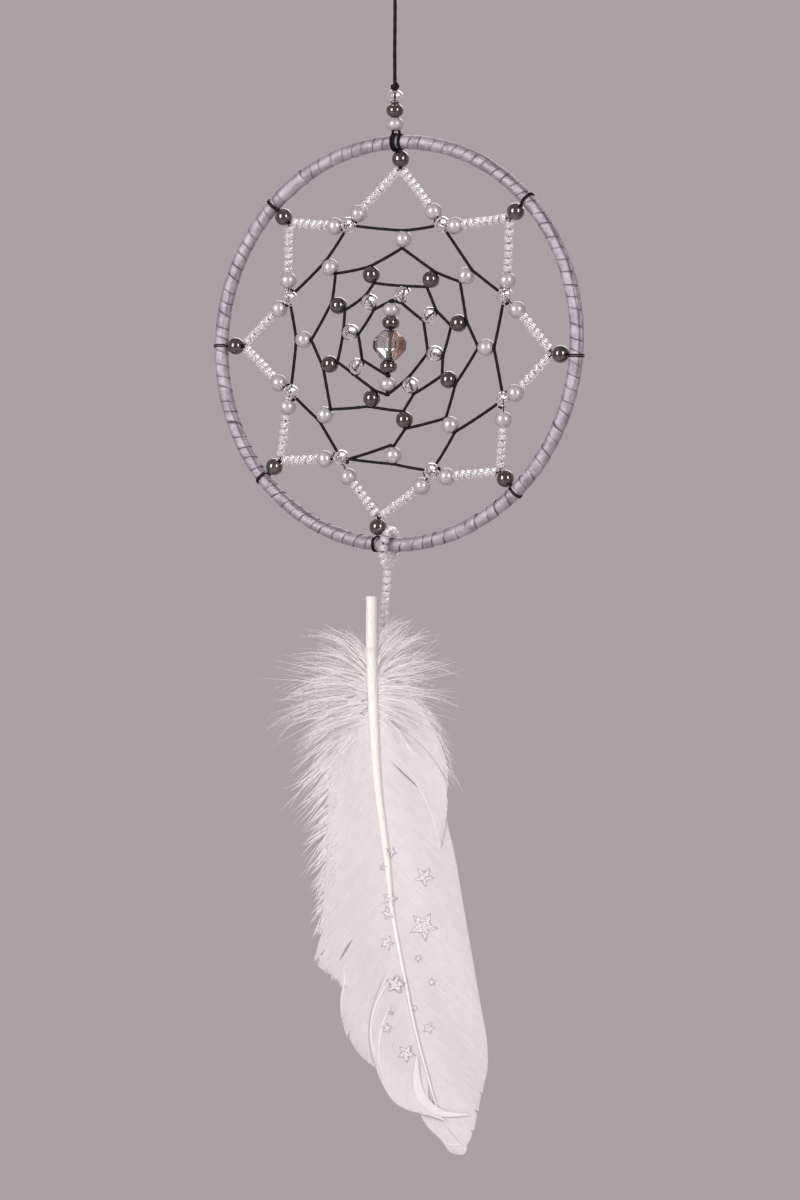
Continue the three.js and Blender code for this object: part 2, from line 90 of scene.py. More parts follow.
def leaf(u, z, w=0.0):
    """A point of the feather: across, up, and out towards its front."""
    return HUB + (ACROSS * u + OUT * w + UP * z) * MM


def centre_of(node):
    low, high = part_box(node)
    return (Vector(low) + Vector(high)) / 2


# ---- camera, at the photograph's viewing angle ----
CAMERA_DISTANCE = 0.9
CAMERA_DROP = 60.4  # below the hoop's centre
CAMERA_SHIFT = 1.2  # to its own right
camera_data = bpy.data.cameras.new("camera")
camera_data.lens = 114.6
camera_data.sensor_width = 36
camera_data.clip_start = 0.01
camera = bpy.data.objects.new("camera", camera_data)
bpy.context.scene.collection.objects.link(camera)
camera.location = place(0, -CAMERA_DROP) + OUT * CAMERA_DISTANCE + ACROSS * CAMERA_SHIFT * MM
camera.rotation_euler = (math.pi / 2, 0, FEATHER_TURN)
bpy.context.scene.camera = camera


# ---- mesh building ----
class Shape:
    """Vertices, faces and one pair of surface coordinates a vertex."""

    def __init__(self):
        self.verts = []
        self.faces = []
        self.uvs = []

    def grid(self, rows, uvs, closed_rows=False, closed_columns=False):
        """A sheet through rows of points."""
        start = len(self.verts)
        count = len(rows)
        width = len(rows[0])
        for r, row in enumerate(rows):
            for c, point in enumerate(row):
                self.verts.append(point)
                self.uvs.append(uvs[r][c])
        for r in range(count if closed_rows else count - 1):
            for c in range(width if closed_columns else width - 1):
                a = start + r * width + c
                b = start + r * width + (c + 1) % width
                d = start + ((r + 1) % count) * width + c
                e = start + ((r + 1) % count) * width + (c + 1) % width
                self.faces.append((a, b, e, d))
        return start

    def cap(self, indices):
        self.faces.append(tuple(indices))

    def build(self, name, material, smooth):
        mesh = bpy.data.meshes.new(name)
        mesh.from_pydata([tuple(v) for v in self.verts], [], self.faces)
        layer = mesh.uv_layers.new(name="surface")
        for loop in mesh.loops:
            layer.data[loop.index].uv = self.uvs[loop.vertex_index]
        mesh.materials.append(material)
        if smooth:
            mesh.polygons.foreach_set("use_smooth", [True] * len(mesh.polygons))
        mesh.update()
        piece = bpy.data.objects.new(name, mesh)
        bpy.context.scene.collection.objects.link(piece)
        return piece


def basis(direction):
    """Two unit vectors square to a direction and to each other."""
    axis = direction.normalized()
    side = axis.cross(Vector((0.13, 0.92, 0.37))).normalized()
    return side, axis.cross(side).normalized()


def sweep(shape, points, radius, sides=8, lobes=0.0, twist=0.0, caps=True):
    """A round rod along points. radius may be a function of 0..1. lobes and twist make plied thread."""
    count = len(points)
    tangent = (points[1] - points[0]).normalized()
    side, other = basis(tangent)
    rows, uvs = [], []
    run = 0.0
    for i, point in enumerate(points):
        ahead = points[min(i + 1, count - 1)] - points[max(i - 1, 0)]
        new = ahead.normalized() if ahead.length > 1e-9 else tangent
        turn = tangent.rotation_difference(new)
        side.rotate(turn)
        other.rotate(turn)
        tangent = new
        if i:
            run += (point - points[i - 1]).length
        size = radius(i / (count - 1)) if callable(radius) else radius
        row = []
        for k in range(sides):
            a = 2 * math.pi * k / sides
            swell = 1 - lobes + lobes * abs(math.cos(a - twist * run))
            row.append(point + (side * math.cos(a) + other * math.sin(a)) * size * swell)
        rows.append(row)
        uvs.append([(k / sides, run / MM) for k in range(sides)])
    start = shape.grid(rows, uvs, closed_columns=True)
    if caps:
        shape.cap(reversed(range(start, start + sides)))
        last = start + (count - 1) * sides
        shape.cap(range(last, last + sides))


def catmull(p0, p1, p2, p3, t):
    """A value between p1 and p2 on the smooth curve through four values."""
    return 0.5 * (2 * p1 + (p2 - p0) * t + (2 * p0 - 5 * p1 + 4 * p2 - p3) * t * t
                  + (3 * p1 - p0 - 3 * p2 + p3) * t ** 3)


def smooth_line(controls, per):
    """A smooth curve through points, with so many steps between two of them."""
    padded = [controls[0] * 2 - controls[1], *controls, controls[-1] * 2 - controls[-2]]
    out = []
    for i in range(1, len(padded) - 2):
        out += [catmull(*padded[i - 1 : i + 3], k / per) for k in range(per)]
    return [*out, controls[-1]]


def bowed(first, middle, last, f):
    """A value at f of the simple curve that runs from first through middle to last."""
    bow = 2 * middle - (first + last) / 2
    return (1 - f) ** 2 * first + 2 * f * (1 - f) * bow + f * f * last


def along_table(table, z):
    """A value from given (height, value) stops, straight between them."""
    if z >= table[0][0]:
        return table[0][1]
    for (z0, v0), (z1, v1) in zip(table, table[1:]):
        if z >= z1:
            return v0 + (v1 - v0) * (z0 - z) / (z0 - z1)
    return table[-1][1]


def spread(a, b, step):
    """Points from a to b at most a step apart."""
    count = max(2, math.ceil((b - a).length / step))
    return [a.lerp(b, i / count) for i in range(count + 1)]


def turned(shape, centre, direction, profile, sides):
    """A ring-shaped body turned about an axis, from a closed profile of (radius, along) in metres."""
    side, other = basis(direction)
    axis = direction.normalized()
    rows = []
    for k in range(sides):
        a = 2 * math.pi * k / sides
        radial = side * math.cos(a) + other * math.sin(a)
        rows.append([centre + radial * r + axis * h for r, h in profile])
    uvs = [[(k / sides, c / len(profile)) for c in range(len(profile))] for k in range(sides)]
    shape.grid(rows, uvs, closed_rows=True, closed_columns=True)


def bead_profile(radius, half, bore, steps):
    """A rounded bead, fuller than an ellipse when it is short, with a hole whose edges are eased."""
    power = min(1.0, 0.55 + 0.45 * (half / radius) ** 1.5)
    start = math.acos(((bore + 0.28) / radius) ** (1 / power))
    profile = []
    for i in range(steps + 1):
        a = start * (2 * i / steps - 1)
        rise = math.copysign(abs(math.sin(a) / math.sin(start)), a)
        profile.append((radius * math.cos(a) ** power * MM, half * rise * MM))
    for h in (0.93, 0.6, 0.0, -0.6, -0.93):
        profile.append(((bore + (0.1 if abs(h) > 0.9 else 0)) * MM, half * h * MM))
    return profile


def add_bead(shape, centre, direction, half=1.9, radius=2.08):
    turned(shape, centre, direction, bead_profile(radius, half, 0.42, 14), 28)


def add_seed(shape, core, centre, direction, size=1.0):
    """A seed bead: a glass ring with a bright lining in its hole."""
    profile = bead_profile(1.16 * size, 0.77 * size, 0.52, 7)
    turned(shape, centre, direction, profile, 14)
    lining = [(0.5 * MM, -0.7 * MM), (0.5 * MM, 0.7 * MM), (0.36 * MM, 0.7 * MM), (0.36 * MM, -0.7 * MM)]
    turned(core, centre, direction, lining, 10)


# ---- materials ----
class Look:
    """A Principled material, with short calls that wire detail into it."""

    def __init__(self, name, base, roughness, metallic=0.0, **inputs):
        self.made = bpy.data.materials.new(name)
        self.made.use_nodes = True
        self.tree = self.made.node_tree
        self.shader = self.tree.nodes["Principled BSDF"]
        self.feed(self.shader, Base_Color=(*base, 1), Roughness=roughness, Metallic=metallic, **inputs)

    def new(self, kind, **settings):
        node = self.tree.nodes.new("ShaderNode" + kind)
        for key, value in settings.items():
            setattr(node, key, value)
        return node

    def feed(self, node, *ordered, **named):
        """Fills a node's inputs, in order or by name: an output is linked, a number is set."""
        for key, value in [*enumerate(ordered), *named.items()]:
            socket = node.inputs[key.replace("_", " ") if isinstance(key, str) else key]
            if isinstance(value, bpy.types.NodeSocket):
                self.tree.links.new(value, socket)
            else:
                socket.default_value = value
        return node.outputs

    def coords(self):
        return self.new("TexCoord").outputs["Object"]

    def strip(self, across, along):
        """Surface coordinates, scaled across and along a strip."""
        surface = self.new("UVMap", uv_map="surface").outputs["UV"]
        return self.feed(self.new("Mapping"), Vector=surface, Scale=(across, along, 1))["Vector"]

    def split(self, vector):
        return self.feed(self.new("SeparateXYZ"), vector)

    def noise(self, scale, detail=3.0, distortion=0.0, vector=None):
        where = self.coords() if vector is None else vector
        return self.feed(self.new("TexNoise"), Vector=where, Scale=scale, Detail=detail, Roughness=0.55,
                         Distortion=distortion)["Fac"]

    def math(self, operation, *terms):
        return self.feed(self.new("Math", operation=operation), *terms)[0]

    def ramp(self, value, stops):
        node = self.new("ValToRGB")
        while len(node.color_ramp.elements) < len(stops):
            node.color_ramp.elements.new(0.5)
        for element, (position, colour) in zip(node.color_ramp.elements, stops):
            element.position = position
            element.color = (*colour, 1)
        return self.feed(node, value)["Color"]

    def remap(self, value, low, high, to_low, to_high):
        return self.feed(self.new("MapRange"), Value=value, From_Min=low, From_Max=high, To_Min=to_low,
                         To_Max=to_high)["Result"]

    def multiply(self, colour, tint, factor=1.0):
        blend = self.new("Mix", data_type="RGBA", blend_type="MULTIPLY")
        self.feed(blend, Factor=factor)
        self.tree.links.new(colour, blend.inputs[6])
        self.tree.links.new(tint, blend.inputs[7])
        return blend.outputs[2]

    def colour(self, value, *stops):
        self.feed(self.shader, Base_Color=self.ramp(value, stops))

    def roughness(self, value, low, high, to_low, to_high):
        self.feed(self.shader, Roughness=self.remap(value, low, high, to_low, to_high))

    def bump(self, height, strength, distance):
        raised = self.feed(self.new("Bump"), Height=height, Strength=strength, Distance=distance)
        self.feed(self.shader, Normal=raised["Normal"])


def waxed_thread():
    look = Look("waxed_thread", (0.005, 0.005, 0.006), 0.6, Specular_IOR_Level=0.16)
    grain = look.noise(2600)
    look.colour(grain, (0.3, (0.002, 0.002, 0.002)), (0.75, (0.01, 0.0095, 0.011)))
    look.roughness(grain, 0.3, 0.7, 0.5, 0.7)
    look.bump(grain, 0.4, 0.00008)
    return look.made


def satin_ribbon():
    """Satin: fine lengthwise yarns, a painted shade line along each lapped edge that comes and goes, and
    painted shade in the lengthwise creases.
    """
    look = Look("satin_ribbon", (0.5, 0.45, 0.49), 0.34, 0.55, Anisotropic=0.35)
    yarns = look.noise(6, 2, vector=look.strip(30, 1.5))
    cloud = look.noise(420, 4)
    weave = look.math("MULTIPLY_ADD", yarns, 0.45, cloud)
    shades = [(0.42, (0.25, 0.21, 0.245)), (0.66, (0.38, 0.33, 0.37)), (0.9, (0.52, 0.465, 0.51))]
    satin = look.ramp(weave, shades)
    across = look.split(look.strip(1, 1))["X"]
    # painted shade: a dark line along the lapped edge of each turn, where the seam's shadow falls
    painted_seam_shade = look.ramp(across, [(0.0, (0.1, 0.08, 0.1)), (0.035, (0.3, 0.26, 0.3)), (0.07, (1, 1, 1))])
    # painted shade: the satin is darkened along the lengthwise folds, as shade in the creases
    crease = look.new("Attribute", attribute_name="crease").outputs["Fac"]
    painted_crease_shade = look.ramp(crease, [(0.0, (1, 1, 1)), (0.5, (0.62, 0.58, 0.62)), (1.0, (0.2, 0.17, 0.2))])
    shown = look.remap(look.noise(170, 2), 0.42, 0.62, 0.15, 1.0)
    seam_shaded = look.multiply(satin, painted_seam_shade, shown)
    look.feed(look.shader, Base_Color=look.multiply(seam_shaded, painted_crease_shade))
    look.roughness(cloud, 0.3, 0.7, 0.3, 0.46)
    look.bump(weave, 0.5, 0.0003)
    return look.made


def lustre_dark():
    look = Look("lustre_dark", (0.08, 0.07, 0.065), 0.08, 0.95,
                Coat_Weight=1.0, Coat_IOR=2.0, Coat_Roughness=0.05)
    cloud = look.noise(520)
    look.colour(cloud, (0.3, (0.02, 0.016, 0.014)), (0.55, (0.06, 0.046, 0.038)), (0.8, (0.22, 0.17, 0.13)))
    look.roughness(cloud, 0.3, 0.8, 0.06, 0.14)
    look.bump(cloud, 0.03, 0.0001)
    return look.made


def pearl_coat():
    look = Look("pearl_coat", (0.5, 0.48, 0.49), 0.34, 0.45, Coat_Weight=0.3, Coat_Roughness=0.14)
    cloud = look.noise(900, 4)
    look.colour(cloud, (0.3, (0.44, 0.42, 0.43)), (0.6, (0.53, 0.51, 0.52)), (0.85, (0.6, 0.58, 0.585)))
    look.roughness(cloud, 0.3, 0.7, 0.24, 0.36)
    look.bump(look.noise(2200), 0.02, 0.00004)
    return look.made


def glass(name, tint, roughness, weight, ior):
    look = Look(name, tint, roughness, Transmission_Weight=weight, IOR=ior)
    swirl = look.noise(700, 2, 0.6)
    look.colour(swirl, (0.35, tuple(0.9 * c for c in tint)), (0.65, tint))
    look.roughness(swirl, 0.3, 0.7, roughness * 0.6, roughness * 1.6)
    look.bump(swirl, 0.02, 0.0001)
    return look.made


def cut_crystal():
    """Smoky glass on one side that runs into a copper coat on the other, with painted shade at both ends
    across it and down its middle.
    """
    look = Look("cut_crystal", (0.8, 0.7, 0.64), 0.02, IOR=1.75, Transmission_Weight=0.94)
    dot = look.new("VectorMath", operation="DOT_PRODUCT")
    place_across = look.feed(dot, look.coords(), tuple(ACROSS))["Value"]
    middle = centre_of("centre_crystal").dot(ACROSS)
    reach = 3.6 * MM
    side = look.remap(place_across, middle - reach, middle + reach, 0.0, 1.0)
    # painted shade: the ends across the crystal and a band down its middle are darkened, as its sides and
    # centre look from the front; the copper half is its coat
    look.colour(side, (0.0, (0.12, 0.1, 0.09)), (0.16, (0.66, 0.63, 0.62)), (0.45, (0.8, 0.78, 0.78)),
                (0.52, (0.4, 0.37, 0.36)), (0.66, (0.8, 0.62, 0.54)), (0.86, (0.5, 0.22, 0.15)),
                (1.0, (0.1, 0.045, 0.035)))
    look.feed(look.shader, Metallic=look.remap(side, 0.55, 1.0, 0.0, 0.4))
    look.roughness(look.noise(900), 0.3, 0.7, 0.01, 0.06)
    return look.made


def white_core():
    """The bright lining of a seed bead's hole."""
    look = Look("white_core", (0.9, 0.9, 0.92), 0.35, 0.2)
    grain = look.noise(2400)
    look.colour(grain, (0.3, (0.8, 0.8, 0.82)), (0.7, (1, 1, 1)))
    look.bump(grain, 0.2, 0.0001)
    return look.made


def wire_steel():
    look = Look("wire_steel", (0.55, 0.54, 0.56), 0.35, 1.0)
    grain = look.noise(1500)
    look.roughness(grain, 0.3, 0.7, 0.25, 0.5)
    look.bump(grain, 0.2, 0.0001)
    return look.made


def quill_horn():
    """Cream quill with fine lengthwise streaks. Its bare top is duller than the shaft between the vanes."""
    look = Look("quill_horn", (0.83, 0.78, 0.68), 0.42, Subsurface_Weight=0.15, Subsurface_Scale=0.002)
    grain = look.noise(3, 4, vector=look.strip(9, 0.12))
    height = look.split(look.coords())["Z"]
    dull = look.remap(height, place(0, -84).z, place(0, -72).z, 0.0, -0.13)
    streaks = look.math("ADD", grain, dull)
    look.colour(streaks, (0.3, (0.74, 0.705, 0.66)), (0.5, (0.88, 0.85, 0.81)), (0.75, (0.96, 0.935, 0.9)))
    look.roughness(streaks, 0.3, 0.7, 0.32, 0.5)
    look.bump(streaks, 0.3, 0.00015)
    return look.made


def barb(name, low, high, roughness=0.5, glow=0.0):
    """Feather barbs: streaks along each barb and a faint sheen. glow is the light that comes through them."""
    look = Look(name, high, roughness, Sheen_Weight=0.2)
    streaks = look.noise(4, vector=look.strip(3, 0.12))
    clouded = look.math("MULTIPLY_ADD", look.noise(420), 0.25, streaks)
    look.colour(clouded, (0.42, low), (0.8, high))
    look.bump(streaks, 0.25, 0.0001)
    if glow:
        through = look.feed(look.new("BsdfTranslucent"), Color=(*high, 1))["BSDF"]
        both = look.feed(look.new("MixShader"), glow, look.shader.outputs["BSDF"], through)["Shader"]
        look.feed(look.tree.nodes["Material Output"], Surface=both)
    return look.made


def glitter():
    look = Look("glitter", (0.75, 0.73, 0.74), 0.4, 0.15)
    cells = look.feed(look.new("TexVoronoi"), Vector=look.coords(), Scale=3600)
    look.colour(cells["Color"], (0.2, (0.45, 0.43, 0.44)), (0.45, (0.68, 0.655, 0.66)),
                (0.8, (0.9, 0.88, 0.89)))
    look.roughness(cells["Distance"], 0, 0.6, 0.1, 0.5)
    look.bump(cells["Distance"], 0.8, 0.0002)
    return look.made


def binding_thread():
    look = Look("binding_thread", (0.8, 0.77, 0.72), 0.7)
    grain = look.noise(3000)
    look.colour(grain, (0.3, (0.8, 0.77, 0.73)), (0.7, (0.95, 0.93, 0.9)))
    look.bump(grain, 0.3, 0.00005)
    return look.made


def star_line():
    look = Look("star_line", (0.5, 0.48, 0.49), 0.5)
    look.colour(look.noise(3000), (0.3, (0.42, 0.4, 0.41)), (0.7, (0.56, 0.53, 0.54)))
    return look.made


def pale_floor():
    look = Look("pale_floor", (0.62, 0.58, 0.59), 0.8)
    grain = look.noise(70, 4)
    look.colour(grain, (0.3, (0.6, 0.56, 0.57)), (0.7, (0.64, 0.6, 0.61)))
    look.bump(grain, 0.15, 0.0005)
    return look.made


THREAD = waxed_thread()
RIBBON = satin_ribbon()
DARK = lustre_dark()
PEARL = pearl_coat()
CLEAR = glass("clear_glass", (0.95, 0.95, 0.96), 0.03, 0.96, 1.42)
SEED = glass("seed_glass", (0.97, 0.96, 0.96), 0.16, 0.72, 1.3)
CRYSTAL = cut_crystal()
LINING = white_core()
STEEL = wire_steel()
HORN = quill_horn()
VANE = barb("vane_barbs", (0.632, 0.614, 0.62), (0.762, 0.74, 0.747), 0.6)
ROLL = barb("rolled_barbs", (0.7, 0.68, 0.68), (0.8, 0.775, 0.78))
WHITE = barb("down_barbs", (0.92, 0.88, 0.89), (1, 0.96, 0.97), glow=0.4)
FRINGE = barb("fringe_barbs", (0.74, 0.71, 0.715), (0.9, 0.87, 0.875), glow=0.25)
GLITTER = glitter()
STAR_LINE = star_line()
BINDING = binding_thread()


def add_piece(shape, name, material, body, slot, *nodes, smooth=True):
    """Builds a shape into a piece that rides on a body and stands for CAD nodes."""
    piece = shape.build(name, material, smooth)
    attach(piece, body)
    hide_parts(*nodes)
    return piece


# ---- cord and hanging loop, on the route that the CAD gives them ----
CORD_R = 0.44
cord_path = [(0, 50.3), (0, 54), (0, 58), (0, 60.7), (-0.03, 65), (-0.05, 69), (0, 73.5), (0.05, 78),
             (0.02, 82), (0, 85.95), (0, 87.7)]
cord_points = [place(x, z) for x, z in cord_path]
fine_cord = []
for a, b in zip(cord_points, cord_points[1:]):
    fine_cord += spread(a, b, 0.00035)[:-1]
fine_cord.append(cord_points[-1])
loop_route = [(-0.3, 88.2), (-2.2, 92), (-3.4, 97), (-2.9, 101.6), (0, 104.45)]
loop_route += [(-x, z) for x, z in reversed(loop_route[:-1])]
loop_controls = [place(x, z) for x, z in loop_route]
loop_points = smooth_line(loop_controls, 3)


def cord_piece(name, points, body, node, sides=12):
    """Waxed, plied cord along points."""
    shape = Shape()
    sweep(shape, points, CORD_R * MM, sides=sides, lobes=0.12, twist=1100)
    return add_piece(shape, name, THREAD, body, "cord_black", node)


def overhand(name, middle, size, turns, body, node):
    """A pulled-tight knot: a few tilted turns of cord in a lump."""
    points = []
    for i in range(65):
        t = i / 64
        a = turns * 2 * math.pi * t
        radius = size * (0.5 + 0.2 * math.sin(math.pi * t))
        height = middle + size * 0.85 * (t - 0.5) + 0.25 * math.sin(a)
        points.append(place(radius * math.cos(a), height, radius * math.sin(a)))
    return cord_piece(name, points, body, node, sides=10)


cord = cord_piece("hanging_cord_line", fine_cord, "cord", "hanging_cord")
loop = cord_piece("hanging_loop_line", smooth_line(loop_controls, 14), "hook_loop", "hanging_loop")
stop_knot = overhand("stop_knot", 60.55, 0.95, 2.2, "cord", "hanging_cord")
loop_knot = overhand("loop_knot", 87.75, 1.5, 2.6, "hook_loop", "hanging_loop")


# ---- beads that have a CAD node each ----
BEADS = {"clear": (CLEAR, "glass_clear"), "dark": (DARK, "glass_dark"), "pearl": (PEARL, "pearl_grey")}


def bead_piece(node, kind, direction, body="hoop", half=1.9):
    shape = Shape()
    add_bead(shape, centre_of(node), direction, half)
    material, slot = BEADS[kind]
    add_piece(shape, node + "_look", material, body, slot, node)


for kind in BEADS:
    bead_piece(f"hanger_bead_{kind}", kind, UP, "hanger_beads", 1.6)

# directions of the star's eight points, in degrees clockwise from the top
STAR_ANGLES = [2, 47, 95, 138, 186, 229, 271, 316]
# directions of the holes of the web's beads, round by round; most point away from the hoop's centre
RINGS = {
    "pearl": [5, 51, 94, 143, 181, 229, 274, 317],
    "dark": [339, 33, 76, 122, 172, 206, 256, 302],
    "clear": [326, 11, 56, 105, 157, 218, 284],
}

for number, angle in enumerate(STAR_ANGLES, 1):
    bead_piece(f"hoop_bead_{number}", "dark", ray(angle))
for kind, angles in RINGS.items():
    for number, angle in enumerate(angles, 1):
        bead_piece(f"web_{kind}_{number}", kind, ray(angle))

CENTRE_TOP = place(-0.8, 10.2)
CENTRE_BOTTOM = place(-2.1, -12)
CENTRE_KNOT = place(-1.8, -7.5)
centre_axis = CENTRE_TOP - CENTRE_BOTTOM
for kind, end in (("pearl", "top"), ("dark", "top"), ("dark", "bottom"), ("pearl", "bottom")):
    bead_piece(f"centre_{kind}_{end}", kind, centre_axis, half=1.62)


# ---- faceted crystal ----
def crystal_piece():
    """A round-cut crystal: two rows of facets above and below the waist, flat ends, open hole."""
    centre = centre_of("centre_crystal")
    axis = centre_axis.normalized()
    side, other = basis(axis)
    count = 10
    # radius, height and turn (in facets) of each ring of corners
    rings = [(0.5, -3.5, 0), (1.75, -3.5, 0), (3.2, -2.1, 0.5), (3.9, -0.9, 0), (3.9, 0.9, 0),
             (3.2, 2.1, 0.5), (1.75, 3.5, 0), (0.5, 3.5, 0)]
    shape = Shape()
    for radius, height, offset in rings:
        for k in range(count):
            a = 2 * math.pi * (k + offset) / count
            radial = side * math.cos(a) + other * math.sin(a)
            shape.verts.append(centre + radial * radius * MM + axis * height * MM)
            shape.uvs.append((k / count, height))
    for r in range(len(rings)):
        low, high = r, (r + 1) % len(rings)
        shift = rings[high][2] - rings[low][2]
        for k in range(count):
            a, b = low * count + k, low * count + (k + 1) % count
            c, d = high * count + k, high * count + (k + 1) % count
            if shift == 0:
                shape.faces.append((a, b, d, c))
            elif shift > 0:
                shape.faces += [(a, b, c), (b, d, c)]
            else:
                shape.faces += [(a, b, d), (a, d, c)]
    add_piece(shape, "centre_crystal_look", CRYSTAL, "crystal", "crystal_smoke", "centre_crystal",
              smooth=False)


crystal_piece()

# ---- hoop: wire, ribbon ----
HOOP_R = 47.4
RIBBON_R = 1.6
hoop_wire = bpy.data.objects["hoop_ring"]
hoop_wire.data.materials.clear()
hoop_wire.data.materials.append(STEEL)


def tube_point(along, around, radius):
    """A point on the hoop's tube: along the hoop (radians clockwise), around the tube."""
    centre = place(HOOP_R * math.sin(along), HOOP_R * math.cos(along))
    outward = Vector((math.sin(along), 0, math.cos(along)))
    return centre + (outward * math.cos(around) + Vector((0, -1, 0)) * math.sin(around)) * radius * MM


CREASES = (
    # along from, along to (degrees), start and end place round the tube, depth
    (14, 112, 28, 48, 1.0),
    (26, 100, 50, 26, 0.8),
    (188, 262, 152, 128, 1.0),
    (196, 240, 130, 150, 0.7),
    (262, 300, 118, 140, 0.5),
)


def crease_at(along, around):
    """How deep a lengthwise fold of the ribbon is at a place on the tube, 0 to 1."""
    deepest = 0.0
    turn = math.degrees(along) % 360
    place_round = math.degrees(around) % 360
    for start, stop, first, last, depth in CREASES:
        t = (turn - start) / (stop - start)
        if 0 < t < 1:
            line = first + (last - first) * t + 7 * math.sin(17 * t + first) + 3 * math.sin(41 * t)
            off = (place_round - line + 180) % 360 - 180
            deepest = max(deepest, depth * math.exp(-((off / 4.5) ** 2)) * min(1, 6 * t, 6 * (1 - t)))
    return deepest


def add_ribbon(shape, name, thickness, offset):
    """A strip of satin with a thickness in millimetres; offset 1 adds it on one side, 0 on both."""
    piece = add_piece(shape, name, RIBBON, "hoop", "ribbon_lilac", "ribbon_wrap")
    thick = piece.modifiers.new("thickness", "SOLIDIFY")
    thick.thickness = thickness * MM
    thick.offset = offset
    return piece


def ribbon_piece():
    """A satin strip wound on the slant, each turn lapped over the last, with soft wrinkles and folds."""
    rng = random.Random(11)
    turns, per_turn, across = 98, 56, 7
    pitch = 2 * math.pi / turns
    jitter = [rng.uniform(-0.2, 0.2) for _ in range(turns + 3)]
    puff = [rng.uniform(0.0, 0.13) for _ in range(turns + 3)]
    lean = [rng.uniform(-0.3, 0.3) for _ in range(turns + 3)]
    waves = [(rng.uniform(0, 6.28), rng.choice((2, 3, 4))) for _ in range(turns + 3)]
    rows, uvs, folds = [], [], []
    start = math.radians(-43)
    for i in range(turns * per_turn + 1):
        t = i / per_turn
        k = int(t)
        f = t - k
        ease = f * f * (3 - 2 * f)
        shift = (jitter[k] * (1 - ease) + jitter[k + 1] * ease) * pitch
        swell = puff[k] * (1 - ease) + puff[k + 1] * ease
        shift += lean[k] * math.sin(2 * math.pi * f) * pitch * 0.5 * math.sin(math.pi * f)
        phase, lobes = waves[k]
        row, uv = [], []
        for c in range(across):
            v = c / (across - 1)
            along = start + t * pitch + shift + (v - 0.5) * pitch * 1.35
            around = -2 * math.pi * t
            lap = 0.2 * (1 - v)
            wrinkle = 0.025 * math.sin(2 * math.pi * lobes * f + phase + 3 * v) * math.sin(math.pi * f)
            fold = crease_at(along, around)
            radius = 1.42 + lap + swell * math.sin(math.pi * v) + wrinkle - 0.13 * fold
            row.append(tube_point(along, around, radius))
            uv.append((v, t * 10.0))
            folds.append(fold)
        rows.append(row)
        uvs.append(uv)
    shape = Shape()
    shape.grid(rows, uvs)
    piece = add_ribbon(shape, "ribbon_look", 0.05, 1)
    # the fold depth, kept for the satin's painted shade in the creases
    marks = piece.data.attributes.new("crease", "FLOAT", "POINT")
    marks.data.foreach_set("value", folds)


def ribbon_end():
    """The ribbon's cut end, stuck down over the first turns beside the upper left bead."""
    rows, uvs = [], []
    for i in range(15):
        t = i / 14
        row, uv = [], []
        for c in range(11):
            v = c / 10
            fray = 0.3 * math.sin(37 * v) if i == 14 else 0
            along = math.radians(-40.5 + 9.5 * t + fray * 0.6)
            around = math.radians(-30 + 215 * v + 10 * t)
            lift = 0.1 + 0.06 * math.sin(7 * v + 5 * t) + 0.16 * t ** 6 + 0.05 * math.sin(23 * v + 9 * t)
            row.append(tube_point(along, around, 1.62 + lift))
            uv.append((v, t * 5))
        rows.append(row)
        uvs.append(uv)
    shape = Shape()
    shape.grid(rows, uvs)
    add_ribbon(shape, "ribbon_end_look", 0.12, 0)


ribbon_piece()
ribbon_end()


def wound_turns(shape, angle, turns, pitch, radius, lift):
    """Thread wound round the hoop's tube at an angle of the hoop, lift above the ribbon."""
    points = []
    steps = int(26 * turns)
    for i in range(steps + 1):
        t = i / steps
        along = math.radians(angle) + (t - 0.5) * turns * pitch / HOOP_R
        points.append(tube_point(along, 2 * math.pi * turns * t + math.pi, RIBBON_R + lift))
    sweep(shape, points, radius * MM, sides=7, lobes=0.1, twist=1500)


# ---- hitch of the cord at the top of the hoop ----
hitch = Shape()
for angle in (-0.2, 0.5):
    wound_turns(hitch, angle, 1.0, 0.05, 0.33, 0.34)
for side in (-1, 1):
    leg = [place(0.15 * side, 50.9), place(0.3 + 0.45 * side, 50.2, 0.5 * side),
           place(0.35 + 0.5 * side, 49.5, 0.9 * side)]
    sweep(hitch, smooth_line(leg, 6), 0.34 * MM, sides=9, lobes=0.12, twist=1300)
add_piece(hitch, "hoop_hitch_look", THREAD, "hoop", "cord_black", "hoop_hitch")

# ---- star strands ----
# pearl, clear bead and pearl at each inner corner of the star: distance and direction from the centre
STAR_CORNERS = [
    ((32.3, 18.5), (30.1, 24.5), (31.4, 30.5)),
    ((32.5, 65), (30.6, 70.5), (32.8, 78)),
    ((34, 111.5), (31.8, 116), (34, 123)),
    ((34.4, 156.5), (31.8, 162), (34.4, 168)),
    ((33.6, 202), (30.4, 208.5), (32.8, 215)),
    ((32.4, 244), (30.3, 249), (32.6, 255)),
    ((32.8, 286.5), (31, 292.5), (33.1, 299)),
    ((32.6, 330.5), (31, 336.5), (32.6, 342.5)),
]
KNOT_OFF = 2.05
STAR_BEAD_R = 43.4
SEED_PITCH = 1.65 * MM
FINE = 0.17
seed_rng = random.Random(5)


def seed_row(glass_shape, lining, a, b):
    """Seed beads threaded from a to b, each a little loose on its thread."""
    line = b - a
    count = round(line.length / SEED_PITCH)
    side, other = basis(line)
    for i in range(count):
        tilt = side * seed_rng.uniform(-0.12, 0.12) + other * seed_rng.uniform(-0.12, 0.12)
        slip = (side * seed_rng.uniform(-0.05, 0.05) + other * seed_rng.uniform(-0.05, 0.05)) * MM
        middle = a + line * ((i + 0.5) / count) + slip
        add_seed(glass_shape, lining, middle, line.normalized() + tilt, seed_rng.uniform(0.94, 1.04))


def add_seeds(seeds, lining, body, node):
    """The seed beads and their bright linings, as the two pieces that stand for a node."""
    add_piece(seeds, node + "_seeds", SEED, body, "seed_glass", node)
    add_piece(lining, node + "_lining", LINING, body, "seed_glass", node)


